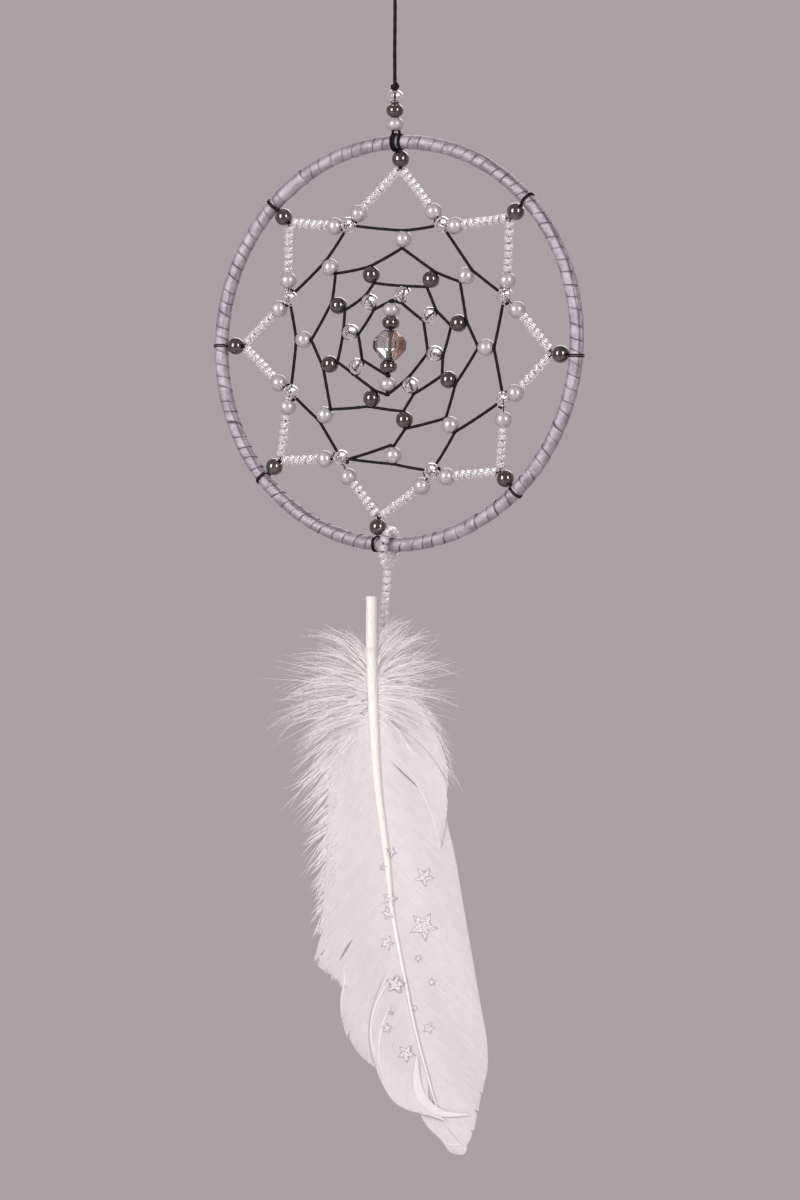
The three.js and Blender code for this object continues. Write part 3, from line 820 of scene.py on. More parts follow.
def small_knot(shape, middle, direction, size, thread):
    """A tight half hitch: two crossing turns of thread."""
    side, other = basis(direction)
    axis = direction.normalized()
    for tilt in (0.35, -0.45):
        points = []
        for i in range(15):
            a = 2 * math.pi * i / 14
            ring = side * math.cos(a) + other * math.sin(a) + axis * tilt * math.cos(a)
            points.append(middle + ring * size * MM)
        sweep(shape, points, thread * MM, sides=7, lobes=0.1, twist=1500)


for index, angle in enumerate(STAR_ANGLES):
    number = index + 1
    node = f"star_strand_{number}"
    next_angle = STAR_ANGLES[number % 8]
    first, corner, second = STAR_CORNERS[index]
    knot = polar(STAR_BEAD_R - KNOT_OFF, angle)
    far = polar(STAR_BEAD_R - KNOT_OFF, next_angle)
    pearl_a, glass_spot, pearl_b = polar(*first), polar(*corner), polar(*second)
    out_a = (pearl_a - knot).normalized()
    out_b = (far - pearl_b).normalized()
    end = far - out_b * 0.5 * MM
    seeds, lining, thread = Shape(), Shape(), Shape()
    seed_row(seeds, lining, knot + out_a * 0.9 * MM, pearl_a - out_a * 1.75 * MM)
    seed_row(seeds, lining, pearl_b + out_b * 1.75 * MM, end - out_b * 0.35 * MM)
    add_seeds(seeds, lining, "hoop", node)
    pearls, corner_bead = Shape(), Shape()
    add_bead(pearls, pearl_a, glass_spot - knot, 1.85)
    add_bead(pearls, pearl_b, far - glass_spot, 1.85)
    add_piece(pearls, node + "_pearls", PEARL, "hoop", "pearl_grey", node)
    add_bead(corner_bead, glass_spot, round_hub(corner[1]), 1.7, radius=2.05)
    add_piece(corner_bead, node + "_corner", CLEAR, "hoop", "glass_clear", node)
    wound_turns(thread, angle, 1.9, 0.42, FINE, FINE + 0.05)
    route = [polar(HOOP_R - RIBBON_R - 0.2, angle), knot, pearl_a, glass_spot, pearl_b, end]
    for a, b in zip(route, route[1:]):
        sweep(thread, spread(a, b, 0.0006), FINE * MM, sides=6, lobes=0.1, twist=1500)
    small_knot(thread, knot, ray(angle), 0.3, FINE)
    add_piece(thread, node + "_thread", THREAD, "hoop", "cord_black", node)

# ---- web thread: each bead's outer and inner knot, the star's corners, and the threads between them ----
knots = {"top": CENTRE_TOP, "mid": CENTRE_KNOT, "bottom": CENTRE_BOTTOM}
links = [("top", "mid"), ("mid", "bottom")]
for letter, (kind, angles) in zip("PDC", RINGS.items()):
    for i, angle in enumerate(angles):
        middle = centre_of(f"web_{kind}_{i + 1}")
        knots[f"{letter}{i}o"] = middle + ray(angle) * KNOT_OFF * MM
        knots[f"{letter}{i}i"] = middle - ray(angle) * KNOT_OFF * MM
        links.append((f"{letter}{i}o", f"{letter}{i}i"))
knots["bend"] = polar(23.9, 182.5)
CORNER_REACH = 2.1
for i, (_, corner, _) in enumerate(STAR_CORNERS):
    spot = polar(*corner)
    for pearl in (i, (i + 1) % 8):
        toward = (knots[f"P{pearl}o"] - spot).normalized()
        knots[f"V{i}_{pearl}"] = spot + toward * CORNER_REACH * MM
        links.append((f"P{pearl}o", f"V{i}_{pearl}"))
links += [pair.split("-") for pair in (
    "P0i-D0o P0i-D1o P1i-D1o P1i-D2o P2i-D2o P2i-D3o P3i-D3o P3i-D4o P4i-D4o P5i-D5o P5i-D6o "
    "P6i-D6o P6i-D7o P7i-D7o P7i-D0o D4i-D5o "
    "D0i-C0o D0i-C1o D1i-C1o D1i-C2o D2i-C2o D2i-C3o D3i-C3o D3i-C4o D4i-C4o D5i-bottom C4i-bottom "
    "D5i-C5o D6i-C5o D6i-C6o D7i-C6o D7i-C0o "
    "C0i-top top-C1i C1i-C2i C2i-C3i C3i-C4i C0i-C6i C6i-C5i C5i-mid P4i-bend bend-V4_4"
).split()]
WEB_R = 0.38
web = Shape()
for a, b in links:
    start, end = knots[a], knots[b]
    line = end - start
    slack = Vector((0, 0.12, -0.1)) * MM if line.length > 0.006 else Vector((0, 0, 0))
    points = spread(start, end, 0.0005)
    for i, point in enumerate(points):
        t = i / (len(points) - 1)
        point += slack * 4 * t * (1 - t)
    sweep(web, points, WEB_R * MM, sides=8, lobes=0.1, twist=1250)
for key, middle in knots.items():
    if key[-1] == "o" or key in ("top", "mid", "bottom"):
        small_knot(web, middle, (middle - HUB), 0.36, 0.27)
    elif key[-1] == "i":
        small_knot(web, middle, (middle - HUB), 0.24, 0.25)
# a turn of the web thread round each star corner's own thread, on both sides of its bead
for i, (_, corner, _) in enumerate(STAR_CORNERS):
    spot = polar(*corner)
    tangent = round_hub(corner[1])
    for sign in (1, -1):
        small_knot(web, spot + tangent * sign * 1.95 * MM, tangent, 0.34, 0.2)
add_piece(web, "web_thread_look", THREAD, "hoop", "cord_black", "web_thread")

# ---- seed-bead drop ----
DROP_MIDDLE = (-1.4, -48.1)
DROP_LEAN = math.radians(6)
DROP_HALF = (3.35, 4.0)
DROP_SEEDS = 14


def drop_point(a):
    up = DROP_HALF[1] * math.cos(a)
    return place(DROP_MIDDLE[0] + math.sin(DROP_LEAN) * up, DROP_MIDDLE[1] + up, DROP_HALF[0] * math.sin(a))


ring_seeds, ring_lining, ring_thread = Shape(), Shape(), Shape()
for i in range(DROP_SEEDS):
    a = 2 * math.pi * (i + 0.5) / DROP_SEEDS
    add_seed(ring_seeds, ring_lining, drop_point(a), drop_point(a + 0.05) - drop_point(a - 0.05), 0.98)
sweep(ring_thread, [drop_point(2 * math.pi * i / 60) for i in range(61)], FINE * MM, sides=6)
add_seeds(ring_seeds, ring_lining, "drop_ring", "drop_loop")
add_piece(ring_thread, "drop_loop_thread", THREAD, "drop_ring", "cord_black", "drop_loop")

CHAIN_TOP = place(-1.9, -53.35)
CHAIN_END = place(-3.4, -69.7)
chain_seeds, chain_lining, chain_thread = Shape(), Shape(), Shape()
seed_row(chain_seeds, chain_lining, CHAIN_TOP, CHAIN_END)
sweep(chain_thread, spread(CHAIN_TOP, CHAIN_END, 0.001), FINE * MM, sides=6)
add_seeds(chain_seeds, chain_lining, "drop_string", "drop_chain")
add_piece(chain_thread, "drop_chain_thread", THREAD, "drop_string", "cord_black", "drop_chain")

# ---- feather ----
QUILL_OUT = 3.6
SHAFT = [(-5.5, -59.5), (-5.5, -73), (-5, -88), (-4, -104), (-2, -120), (-0.5, -134), (2.4, -149.5),
         (5, -162), (8.8, -176), (10.4, -180.8)]
shaft_controls = [Vector((u, QUILL_OUT, z)) for u, z in SHAFT]
shaft_line = smooth_line(shaft_controls, 12)
shaft_places = [(p.z, p.x) for p in shaft_line]
SHAFT_RADIUS = [(-59, 1.22), (-72, 1.24), (-88, 1.1), (-98, 0.95), (-108, 0.85), (-122, 0.75), (-133, 0.5),
                (-147, 0.36), (-166, 0.28), (-184, 0.16)]


def shaft_at(z):
    """The shaft's place across, at a height."""
    return along_table(shaft_places, z)


def shaft_radius(z):
    return along_table(SHAFT_RADIUS, z)


def vane_depth(u, z):
    """How far the vane stands out from the quill's back: cupped, with a long soft ripple."""
    off = u - shaft_at(z)
    d = abs(off)
    cup = 0.05 * d - 0.006 * d * d
    ripple = 0.22 * math.sin(0.11 * z + 0.35 * off) * min(1.0, d / 6)
    return QUILL_OUT + cup + ripple


def between(stations, t):
    """A smooth mix of given stations, each a tuple of numbers, at t from 0 to 1."""
    place_in = t * (len(stations) - 1)
    k = min(int(place_in), len(stations) - 2)
    f = place_in - k
    before = stations[max(k - 1, 0)]
    after = stations[min(k + 2, len(stations) - 1)]
    return [catmull(*values, f) for values in zip(before, stations[k], stations[k + 1], after)]


def square_to(route, i):
    """The unit direction square to a route of (across, height) points, at its point i."""
    ahead, behind = route[min(i + 1, len(route) - 1)], route[max(i - 1, 0)]
    du, dz = ahead[0] - behind[0], ahead[1] - behind[1]
    size = math.hypot(du, dz) or 1.0
    return -dz / size, du / size


CRACK_SPAN = 3.2  # the stretch of shaft, each way, whose barbs a crack pushes aside
BARB_STEPS = 15


def crack_push(crack, root, f):
    """How far a crack moves a barb aside, at f along the barb."""
    crack_z, reach_from, reach_to, width = crack
    away = (root - crack_z) / CRACK_SPAN
    if abs(away) >= 1 or not reach_from < f < reach_to:
        return 0.0
    swell = (f - reach_from) / (reach_to - reach_from)
    if reach_to <= 1:
        swell = math.sin(math.pi * swell)
    return width * swell * math.copysign((1 - abs(away)) ** 2, away)


def lobe(shape, side, stations, count, lift=0.0, rim=0.0, cracks=(), ragged=0.25):
    """A part of a vane, barb by barb. A station is (height of the root on the shaft, then the middle's and
    the end's place across and height). Barbs lap like shingles; rim raises their ends; a crack is
    (root height, reach along the barb from and to, half width), and one that ends past 1 is open."""
    for i in range(count):
        t = i / (count - 1)
        root, mid_u, mid_z, end_u, end_z = between(stations, t)
        near = between(stations, min(1.0, t + 1 / count))
        start_u = shaft_at(root) + side * shaft_radius(root) * 0.5
        trim = 1 - (vane_rng.random() ** 3) * 0.02 * ragged - 0.004 * vane_rng.random()
        tint = vane_rng.random()
        step_lift = 0.035 * math.sin(i * 2.4) + vane_rng.uniform(-0.015, 0.015)
        reaches = [trim * j / BARB_STEPS for j in range(BARB_STEPS + 1)]
        path = [(bowed(start_u, mid_u, end_u, f), bowed(root, mid_z, end_z, f)) for f in reaches]
        rows, uvs = [], []
        for j, (f, (u, z)) in enumerate(zip(reaches, path)):
            nu, nz = square_to(path, j)
            push = side * sum(crack_push(crack, root, f) for crack in cracks)
            gap = math.hypot(near[3] - end_u, near[4] - end_z) * f + abs(near[0] - root) * (1 - f) * 0.75
            half = side * max(0.2, min(0.55, 0.75 * gap)) * (1 - 0.55 * max(0.0, f - 0.9) / 0.1)
            depth = vane_depth(u, z) + lift * min(1.0, 3 * f) + rim * f ** 6 + step_lift
            cu, cz = u + nu * push, z + nz * push
            rows.append([leaf(cu + nu * half, cz + nz * half, depth + 0.05),
                         leaf(cu, cz, depth + 0.025),
                         leaf(cu - nu * half, cz - nz * half, depth - 0.05)])
            uvs.append([(tint * 3 + 0.12 * c, f * 9 + tint * 40) for c in range(3)])
        shape.grid(rows, uvs)


RIGHT_VANE = [
    (-78.6, -1.5, -79.4, 2.5, -83), (-79.6, 2.4, -82, 8, -89.5), (-82.5, 4.8, -88, 11.4, -96.2),
    (-88, 5.6, -95, 12.5, -102.5), (-94, 5.2, -103, 12, -109.5), (-98.5, 5.4, -107.5, 12.4, -113),
    (-106, 6.6, -115, 14.3, -121.5), (-115, 8.4, -124.5, 16.2, -133), (-125, 10.2, -135, 18.2, -144.5),
    (-135, 12, -145.5, 20, -155), (-144, 13.2, -154, 21.5, -163), (-153, 14.3, -162, 21.8, -170),
    (-160, 14.6, -168.5, 20.9, -174.3), (-167, 14.7, -174.4, 19.8, -179), (-173, 14.5, -179.5, 18.9, -183),
    (-177, 14.2, -183, 17.9, -186.6), (-179.5, 13.4, -185, 16.7, -188.6),
]
RIGHT_TUFT = [
    (-87.5, 5.8, -94.5, 12.3, -104), (-89.5, 6.2, -97.5, 12.3, -109), (-91.5, 6, -100.2, 11.9, -113.5),
    (-93.2, 5.4, -102.4, 11.2, -117.2), (-94.2, 4.9, -103.2, 10.7, -118.8),
]
LEFT_VANE = [
    (-87.2, -9.6, -90.4, -13.6, -97), (-90, -10.8, -95.6, -15.4, -104), (-95, -11, -101.8, -15.8, -112),
    (-102, -10.8, -109.8, -16.2, -121), (-110, -10.6, -118.4, -16.8, -130),
    (-118, -10.4, -127, -17.5, -138.5), (-125, -10.2, -134.4, -18.7, -145.2),
    (-127.5, -9.8, -137.4, -16.7, -147.6), (-129.5, -9.2, -139.4, -14.3, -148.8),
    (-131.5, -8.4, -141.6, -12.3, -151.2),
    (-134.5, -7.6, -145.4, -12.7, -157), (-138, -6.4, -149.8, -11.4, -162.2),
    (-141, -5, -153.6, -8.6, -166.8),
    (-143.5, -3.6, -156.6, -5.4, -169.6), (-145.5, -2.6, -158.8, -3.4, -170.8),
]
INNER_LOBE = [
    (-143.2, -5.2, -157, -4.6, -168.6), (-145, -5.2, -159, -3.2, -171), (-148, -4.4, -162, -2.6, -174.3),
    (-152.5, -2.6, -166, -0.3, -177.9), (-157.5, -0.2, -169.4, 2.6, -179.8), (-162.5, 2.5, -172.2, 6, -180.8),
    (-168, 5.6, -175.4, 9, -181.6), (-173, 8.2, -178.4, 12, -182.6),
]
TIP_LOBE = [
    (-170, 5.8, -177, 6.8, -182.6), (-172.5, 7.2, -179.6, 8.4, -184.8), (-175, 9.2, -182.4, 11, -187.2),
    (-177.5, 11.2, -184.6, 12.8, -189.8), (-179.5, 12.8, -186, 14.5, -190.6),
    (-180.5, 14, -186.6, 16.4, -190.4), (-181, 14.6, -186.2, 17, -188.6),
]
RIGHT_CRACKS = [(-95, 0.08, 0.64, 0.42), (-146, 0.3, 0.5, 0.05), (-163, 0.88, 1.01, 0.3),
                (-169.5, 0.8, 1.01, 0.42), (-175.5, 0.85, 1.01, 0.36)]
LEFT_CRACKS = [(-129.2, 0.5, 0.86, 0.5), (-125.4, 0.8, 1.01, 0.5), (-138.5, 0.9, 1.01, 0.3),
               (-119, 0.9, 1.01, 0.3)]
vane_rng = random.Random(21)
right_vane, left_vane = Shape(), Shape()
lobe(right_vane, 1, RIGHT_VANE, 420, cracks=RIGHT_CRACKS)
lobe(right_vane, 1, RIGHT_TUFT, 60, lift=0.22, ragged=2.5)
lobe(right_vane, -1, TIP_LOBE, 90, lift=-0.3, ragged=1.6)
lobe(left_vane, -1, LEFT_VANE, 380, rim=0.12, cracks=LEFT_CRACKS, ragged=0.6)
lobe(left_vane, -1, INNER_LOBE, 190, lift=0.4, rim=0.15)
add_piece(right_vane, "vane_right_look", VANE, "feather", "vane_white", "feather_vane_right")
add_piece(left_vane, "vane_left_look", VANE, "feather", "vane_white", "feather_vane_left")


def roll(shape, route, width, lift, seed, thick):
    """A barb edge that has curled over: a soft half-round band along a line, thin at both ends."""
    rng = random.Random(seed)
    line = smooth_line([Vector((u, 0, z)) for u, z in route], 9)
    count = len(line) - 1
    grain = rng.uniform(0, 6)
    rows, uvs = [], []
    for i, point in enumerate(line):
        t = i / count
        ahead = line[min(i + 1, count)] - line[max(i - 1, 0)]
        nu, nz = -ahead.z / ahead.length, ahead.x / ahead.length
        half = width * math.sin(math.pi * min(1, max(0, t))) ** 0.7 * 0.5 + 0.03
        row, uv = [], []
        for c in range(9):
            a = math.pi * c / 8
            off = math.cos(a) * half
            rise = math.sin(a) * half * thick + 0.02 * math.sin(5 * a + 9 * t + grain)
            u, z = point.x + nu * off, point.z + nz * off
            row.append(leaf(u, z, vane_depth(u, z) + lift + rise))
            uv.append((c / 3, t * 14 + seed))
        rows.append(row)
        uvs.append(uv)
    shape.grid(rows, uvs)


ROLLS = [
    # route, width, lift above the vane, seed, thickness against width
    ([(5.2, -167.5), (5.1, -171), (5.4, -174.4), (6.6, -177.4), (8.8, -179.7), (12, -181), (17.6, -181.1)],
     2.3, 0.5, 3, 0.3),
    ([(0, -148.5), (-2.4, -151.5), (-4.6, -155.8), (-5.6, -160.5), (-5.2, -165), (-3.6, -169.6)],
     0.55, 0.42, 5, 0.35),
    ([(-0.6, -155), (-2.4, -158.6), (-3.5, -163), (-3.7, -167), (-3, -171.4), (-2, -175)],
     0.5, 0.44, 6, 0.35),
    ([(11.6, -187.9), (13.6, -188.3), (15.4, -188.2), (17, -187.8)], 0.5, -0.2, 7, 0.4),
    ([(-12, -146.5), (-11.7, -149.6), (-12.5, -154), (-12.6, -158.6)], 0.5, 0.1, 9, 0.35),
]
folds = Shape()
for curled in ROLLS:
    roll(folds, *curled)
add_piece(folds, "fold_look", ROLL, "feather", "vane_white", "feather_vane_left")


def quill_piece():
    """The shaft: a square-cut top, then a long taper to a hair."""
    shape = Shape()
    line = smooth_line(shaft_controls, 16)
    points = [leaf(p.x, p.z, p.y + 0.3 * max(0.0, min(1.0, (-138 - p.z) / 14))) for p in line]
    heights = [(p - HUB).z / MM for p in points]

    def radius(t):
        z = heights[round(t * (len(points) - 1))]
        return (shaft_radius(z) + (0.05 if z > -71 else 0.0)) * MM

    sweep(shape, points, radius, sides=18)
    add_piece(shape, "quill_look", HORN, "feather", "quill_cream", "feather_quill")


quill_piece()


# ---- down and free barbs ----
def fibre(shape, points, thick, taper):
    sweep(shape, points, lambda t: thick * (1 - taper * t) * MM, sides=3, caps=False)


def hair(shape, start, angle, bend, length, rng):
    """One loose downy fibre that wanders as it goes."""
    u, z, w = start
    steps = 8
    phase = rng.uniform(0, 6.28)
    drift = rng.uniform(-0.4, 0.4)
    points = [leaf(u, z, w)]
    for i in range(steps):
        angle += bend / steps * (0.4 + 1.2 * i / steps) + 0.14 * math.sin(phase + i * 1.1)
        u += math.cos(angle) * length / steps
        z += math.sin(angle) * length / steps
        w += drift + rng.uniform(-0.05, 0.05)
        points.append(leaf(u, z, w))
    fibre(shape, points, 0.035, 0.7)


def barbule(shape, start, angle, reach, rng):
    """A short side hair of a downy barb."""
    u, z, w = start
    tip_u, tip_z = u + math.cos(angle) * reach, z + math.sin(angle) * reach
    middle = leaf((u + tip_u) / 2, (z + tip_z) / 2 - 0.07, w + rng.uniform(-0.12, 0.12))
    fibre(shape, [leaf(*start), middle, leaf(tip_u, tip_z, w + rng.uniform(-0.35, 0.35))], 0.022, 0.5)


def flat_strand(shape, route, half, grain):
    """A narrow flat barb that faces out of the feather, crowned along its middle and pointed."""
    rows, uvs = [], []
    for i, (u, z, w) in enumerate(route):
        nu, nz = square_to(route, i)
        t = i / (len(route) - 1)
        wide = half * (1 - 0.93 * t ** 1.6)
        rows.append([leaf(u + nu * wide, z + nz * wide, w), leaf(u, z, w + 0.3 * wide),
                     leaf(u - nu * wide, z - nz * wide, w)])
        uvs.append([(grain + 0.1 * c, 6 * t + grain) for c in range(3)])
    shape.grid(rows, uvs)


CLUMP_BARBS = 9
CLUMP_FLATS = 4  # of them, flat ones that lie in front
BARBULES = 12


def clump(shape, rng, root, angle, length, bow, out):
    """Downy barbs that leave the shaft side by side, bow over, and run together into one soft point,
    which may stand off the vane by about out."""
    tip = (root[0] + math.cos(angle) * length, root[1] + math.sin(angle) * length,
           root[2] + rng.uniform(-1.2, 1.6) * out)
    for strand in range(CLUMP_BARBS):
        first = [a + rng.uniform(-off, off) for a, off in zip(root, (0.4, 1.5, 0.4))]
        last = [a + rng.gauss(0, off) for a, off in zip(tip, (0.9, 0.9, 0.4))]
        middle = [(a + b) / 2 for a, b in zip(first, last)]
        middle[0] -= math.sin(angle) * bow * length * rng.uniform(0.7, 1.3)
        middle[1] += math.cos(angle) * bow * length * rng.uniform(0.7, 1.3)
        stop = rng.uniform(0.62, 1.0)
        wave = rng.uniform(0, 6.28)
        route = []
        for i in range(11):
            f = stop * i / 10
            wobble = 0.12 * math.sin(wave + 7 * f) * f
            route.append([bowed(a, m, b, f) + wobble for a, m, b in zip(first, middle, last)])
        if strand < CLUMP_FLATS:
            front = [(u, z, w + 0.5) for u, z, w in route]
            flat_strand(shape, front, 0.105 * rng.uniform(0.7, 1.2), rng.uniform(0, 9))
        else:
            fibre(shape, [leaf(*point) for point in route], 0.06, 0.75)
        for _ in range(BARBULES):
            k = rng.randrange(1, 10)
            heading = math.atan2(route[k + 1][1] - route[k][1], route[k + 1][0] - route[k][0])
            heading += rng.choice((-1, 1)) * rng.uniform(0.3, 0.75)
            barbule(shape, route[k], heading, rng.uniform(0.6, 1.5), rng)


def tuft_rule(table, t):
    """Direction in degrees and length at t, from given stops."""
    spot = t * (len(table) - 1)
    k = min(int(spot), len(table) - 2)
    return [a + (b - a) * (spot - k) for a, b in zip(table[k], table[k + 1])]


def edge_barb(shape, rng, u, z, angle, length, half, loft=0.65):
    """A free barb end: it leaves the vane's face, clings to it, then floats off by up to loft."""
    bend = rng.gauss(0.1, 0.14)
    phase = rng.uniform(0, 6.28)
    start, off = rng.uniform(-0.04, 0.1), rng.uniform(-loft, loft)
    route = []
    for i in range(12):
        t = i / 11
        route.append((u, z, vane_depth(u, z) + start + 0.14 * t + off * t * t))
        heading = angle + bend * t + 0.06 * math.sin(phase + 5 * t)
        u += math.cos(heading) * length / 11
        z += math.sin(heading) * length / 11
    flat_strand(shape, route, half, rng.uniform(0, 9))


def edge_group(shape, rng, u, z, angle, length, count, half):
    """A few free barb ends that run together towards one point."""
    tip_u, tip_z = u + math.cos(angle) * length, z + math.sin(angle) * length
    for _ in range(count):
        own_u, own_z = u + rng.uniform(-0.5, 0.5), z + rng.uniform(-1.1, 1.1)
        to_u, to_z = tip_u + rng.gauss(0, 0.55) - own_u, tip_z + rng.gauss(0, 0.55) - own_z
        own_length = math.hypot(to_u, to_z) * rng.uniform(0.55, 1.03)
        edge_barb(shape, rng, own_u, own_z, math.atan2(to_z, to_u), own_length, half * rng.uniform(0.7, 1.15))


# direction in degrees and length of the down, from its top to its foot, on the left and the right
LEFT_DOWN = [(128, 12), (150, 18), (166, 23), (177, 26), (186, 27), (194, 27), (204, 26), (214, 24),
             (226, 20)]
RIGHT_DOWN = [(64, 12), (48, 15), (30, 17), (16, 20), (4, 22), (-10, 23), (-24, 23), (-37, 20), (-47, 17)]
DOWN_SIDES = (
    # side, table, height of the top, drop to the foot, number of clumps, number of single barbs
    (-1, LEFT_DOWN, -75.5, 15.5, 40, 46),
    (1, RIGHT_DOWN, -73.5, 14, 34, 40),
)
# direction in degrees and length of the free barbs, down the left edge
LEFT_REACH = [(207, 21), (216, 18), (222, 13.5), (228, 9.8), (231, 6.8), (246, 4.2)]
# the vanes' edges that they leave, as (height, place across)
LEFT_FREE = [(-86, -8), (-93, -12), (-100, -14.8), (-112, -15.8), (-121, -16.2), (-130, -16.8), (-145, -18.7)]
RIGHT_FREE = [(-79, 0), (-85, 5), (-90, 8.4), (-96, 11.4), (-102, 12.5), (-110, 12)]


def down_piece():
    rng = random.Random(33)
    shape = Shape()
    for side, table, top, drop, clumps, _ in DOWN_SIDES:
        for i in range(clumps):
            t = i / (clumps - 1)
            angle, length = tuft_rule(table, t)
            z = top - drop * t ** 1.1
            root = (shaft_at(z) + side * 0.8, z, QUILL_OUT - 0.8 + rng.uniform(-0.3, 0.5))
            clump(shape, rng, root, math.radians(angle + rng.gauss(0, 8)), length * rng.uniform(0.5, 0.98),
                  side * rng.uniform(0.04, 0.2), 3.2 if t > 0.2 else 0.7)
    # single long barbs that part from the clumps
    for side, table, top, drop, _, singles in DOWN_SIDES:
        for _ in range(singles):
            t = rng.random()
            angle, length = tuft_rule(table, t)
            z = top - drop * t
            u = shaft_at(z) + side * rng.uniform(1.4, 3)
            edge_barb(shape, rng, u, z, math.radians(angle + rng.gauss(0, 13)),
                      length * rng.uniform(0.6, 0.98), 0.085, loft=4.5 if t > 0.2 else 0.7)
    # a haze of fine loose fibres round the foot of the vanes
    for _ in range(520):
        side = -1 if rng.random() < 0.55 else 1
        z = -71.5 - 20 * rng.random()
        angle = (math.pi + 0.25 if side < 0 else -0.2) + rng.gauss(0, 0.6)
        root = (shaft_at(z) + side * rng.uniform(0.6, 3.5), z, QUILL_OUT - rng.uniform(0.3, 1.3))
        hair(shape, root, angle, side * -0.6, rng.uniform(4, 12), rng)
    add_piece(shape, "down_look", WHITE, "feather", "down_white", "feather_down")


def fringe_piece():
    """Loose barb ends down both edges of the vane, and the fine wisps on its right shoulder."""
    rng = random.Random(8)
    shape = Shape()
    for i in range(52):
        t = i / 51
        z = -85 - 56 * t
        angle, length = tuft_rule(LEFT_REACH, t)
        u = along_table(LEFT_FREE, z) + rng.uniform(0.2, 2.0)
        edge_group(shape, rng, u, z + 2.5, math.radians(angle + rng.gauss(0, 4)),
                   length * rng.uniform(0.7, 1.05), 4, 0.14)
    for _ in range(330):
        t = rng.random()
        z = -85 - 57 * t
        angle, _ = tuft_rule(LEFT_REACH, t)
        u = along_table(LEFT_FREE, z) + rng.uniform(0.6, 3.6)
        edge_barb(shape, rng, u, z + 1.5, math.radians(angle + 4 + rng.gauss(0, 6)),
                  rng.uniform(3, 5.8) * (1 - 0.35 * t), 0.1)
    for _ in range(70):
        t = rng.random()
        edge_barb(shape, rng, -18.2 + 6.2 * t, -143 - 7.2 * t, math.radians(258 + 22 * t + rng.gauss(0, 8)),
                  rng.uniform(1.4, 3.0), 0.07)
    for i in range(26):
        t = i / 25
        z = -80 - 21 * t
        u = along_table(RIGHT_FREE, z) - rng.uniform(0.2, 1.8)
        edge_group(shape, rng, u, z + 2.5, math.radians(-38 - 27 * t + rng.gauss(0, 5)),
                   rng.uniform(4, 10), 3, 0.07)
    add_piece(shape, "fringe_look", FRINGE, "feather", "down_white", "feather_down")


down_piece()
fringe_piece()

# ---- binding: fine pale thread round the quill, and its tail to the drop's end ----
binding = Shape()
turns = []
for i in range(151):
    a = 2 * math.pi * i / 30
    z = -72.6 + 0.24 * i / 30
    turns.append(leaf(shaft_at(z) + 1.33 * math.cos(a), z, QUILL_OUT + 1.33 * math.sin(a)))
sweep(binding, turns, 0.08 * MM, sides=6)
tie = [leaf(shaft_at(-72) + 0.9, -71.9, QUILL_OUT - 1.0), leaf(-4.3, -71.4, 1.6), leaf(-3.6, -70.6, 0.7),
       CHAIN_END]
sweep(binding, smooth_line(tie, 6), 0.16 * MM, sides=6)
small_knot(binding, tie[2], tie[1] - tie[2], 0.35, 0.16)
add_piece(binding, "lashing_look", BINDING, "feather", "binding_pale", "feather_lashing")

# ---- glitter stars: (across, height, radius, turn) ----
STARS = [(-1, -119.6, 1.4, 10), (-2.8, -123.1, 0.95, 30), (6.9, -125.2, 2.35, 5), (-1.2, -130.4, 1.9, 20),
         (-1.6, -133.8, 1.65, 50), (6.7, -136.9, 3.5, 8), (-1.8, -140.8, 1.75, 15), (5.4, -144.4, 0.95, 0),
         (0.2, -150.5, 2.35, 25), (8.6, -150.1, 0.95, 40), (4.5, -156.1, 0.95, 12), (-0.9, -157.2, 0.5, 0),
         (-1.9, -160.8, 1.2, 33), (7.9, -160.8, 1.5, 18), (2.6, -166.7, 2.1, 6)]


def star_rim(u, z, radius, turn):
    """The ten corners of a five-pointed star lying on the vane."""
    corners = []
    for k in range(10):
        a = math.radians(turn + 270 + 36 * k)
        r = radius * (1.0 if k % 2 == 0 else 0.45)
        corners.append((u + r * math.cos(a), z + r * math.sin(a)))
    return corners


def star_depth(u, z):
    """Just above whatever is highest there: the vane, or the shaft's round back."""
    off = abs(u - shaft_at(z))
    round_shaft = math.sqrt(max(0.0, shaft_radius(z) ** 2 - off * off))
    extra = 0.62 if z < -148 and u < shaft_at(z) else 0.16
    return max(vane_depth(u, z) + extra, QUILL_OUT + round_shaft + 0.06)


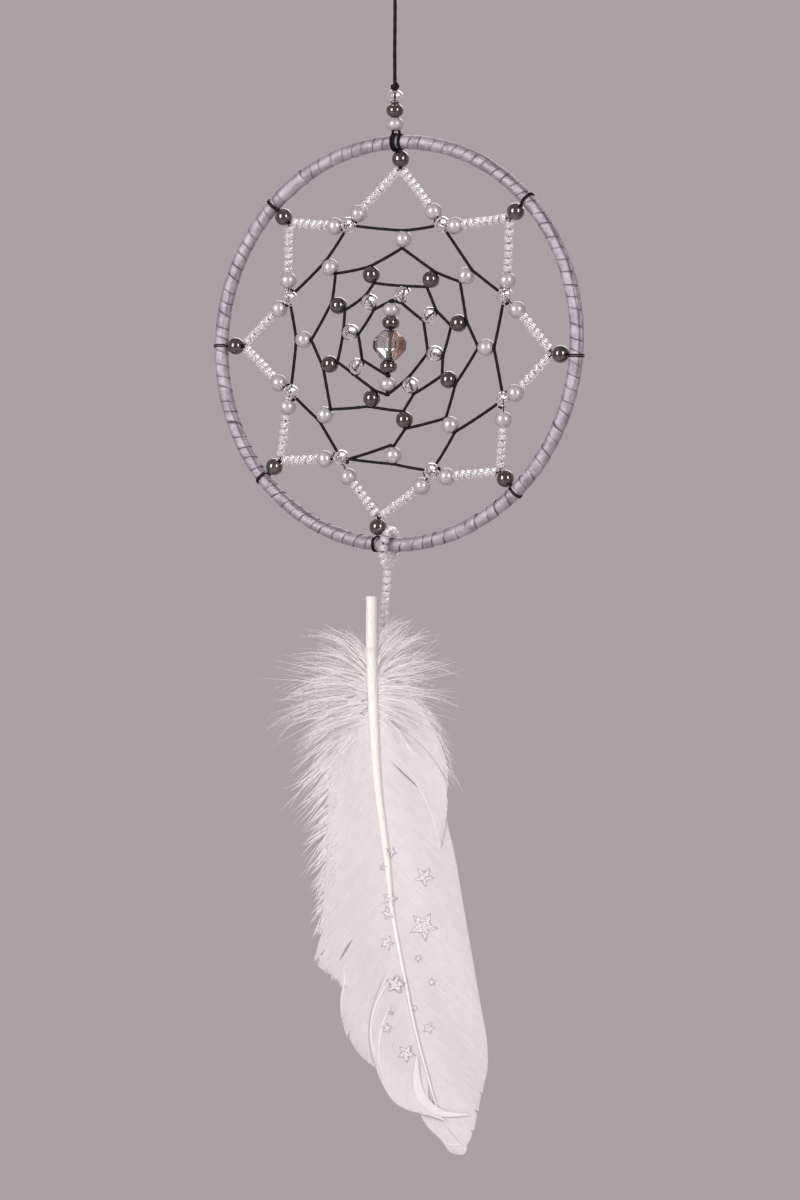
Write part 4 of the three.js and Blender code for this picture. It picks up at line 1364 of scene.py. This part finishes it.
fill, outline = Shape(), Shape()
for u, z, radius, turn in STARS:
    corners = star_rim(u, z, radius, turn)
    base = len(fill.verts)
    for under in (0.0, 0.08):
        fill.verts.append(leaf(u, z, star_depth(u, z) - under))
        fill.uvs.append((0.5, 0.5))
        for cu, cz in corners:
            fill.verts.append(leaf(cu, cz, star_depth(cu, cz) - under))
            fill.uvs.append((cu, cz))
    for k in range(10):
        a, b = 1 + k, 1 + (k + 1) % 10
        fill.faces.append((base, base + b, base + a))
        fill.faces.append((base + 11, base + 11 + a, base + 11 + b))
        fill.faces.append((base + a, base + b, base + 11 + b, base + 11 + a))
    rim = [leaf(cu, cz, star_depth(cu, cz)) for cu, cz in corners]
    for a, b in zip(rim, rim[1:] + rim[:1]):
        sweep(outline, [a, b], 0.055 * MM, sides=5)
add_piece(fill, "star_fill", GLITTER, "feather", "vane_white", "feather_vane_right", smooth=False)
add_piece(outline, "star_outline", STAR_LINE, "feather", "vane_white", "feather_vane_right")

# ---- floor, lights, world ----
FLOOR_DROP = 0.3  # metres below the lowest point of the piece
FLOOR_R = 1.25
FLOOR_SIDES = 64
floor_shape = Shape()
floor_z = cad_bounds[0][2] - FLOOR_DROP
for k in range(FLOOR_SIDES):
    a = 2 * math.pi * k / FLOOR_SIDES
    floor_shape.verts.append(Vector((FLOOR_R * math.cos(a), FLOOR_R * math.sin(a), floor_z)))
    floor_shape.uvs.append((0, 0))
floor_shape.cap(range(FLOOR_SIDES))
floor_shape.build("floor", pale_floor(), True)


def softbox(name, right, up, back, width, height, power, colour=(1, 1, 1)):
    """A soft light that faces the hoop's lower part. Its place is right, up and towards the camera of it."""
    data = bpy.data.lights.new(name, "AREA")
    data.shape = "RECTANGLE"
    data.size = width
    data.size_y = height
    data.energy = power
    data.color = colour
    lamp = bpy.data.objects.new(name, data)
    bpy.context.scene.collection.objects.link(lamp)
    target = place(0, -40)
    lamp.location = target + ACROSS * right + UP * up + OUT * back
    lamp.rotation_euler = (target - lamp.location).to_track_quat("-Z", "Y").to_euler()


softbox("left_box", -0.72, 0.22, 0.72, 0.42, 0.72, 7.7)
softbox("right_box", 0.56, 0.24, 0.82, 0.26, 0.6, 4.1)
softbox("low_box", 0.0, -0.75, 0.6, 0.9, 0.35, 3.0, (1, 0.86, 0.74))
softbox("back_box", 0.2, 0.6, -0.9, 0.8, 0.5, 2.5)

world = bpy.data.worlds.new("studio")
world.use_nodes = True
world.node_tree.nodes["Background"].inputs["Color"].default_value = (0.4, 0.353, 0.373, 1)
world.node_tree.nodes["Background"].inputs["Strength"].default_value = 1.0
bpy.context.scene.world = world
bpy.context.scene.view_settings.view_transform = "Standard"
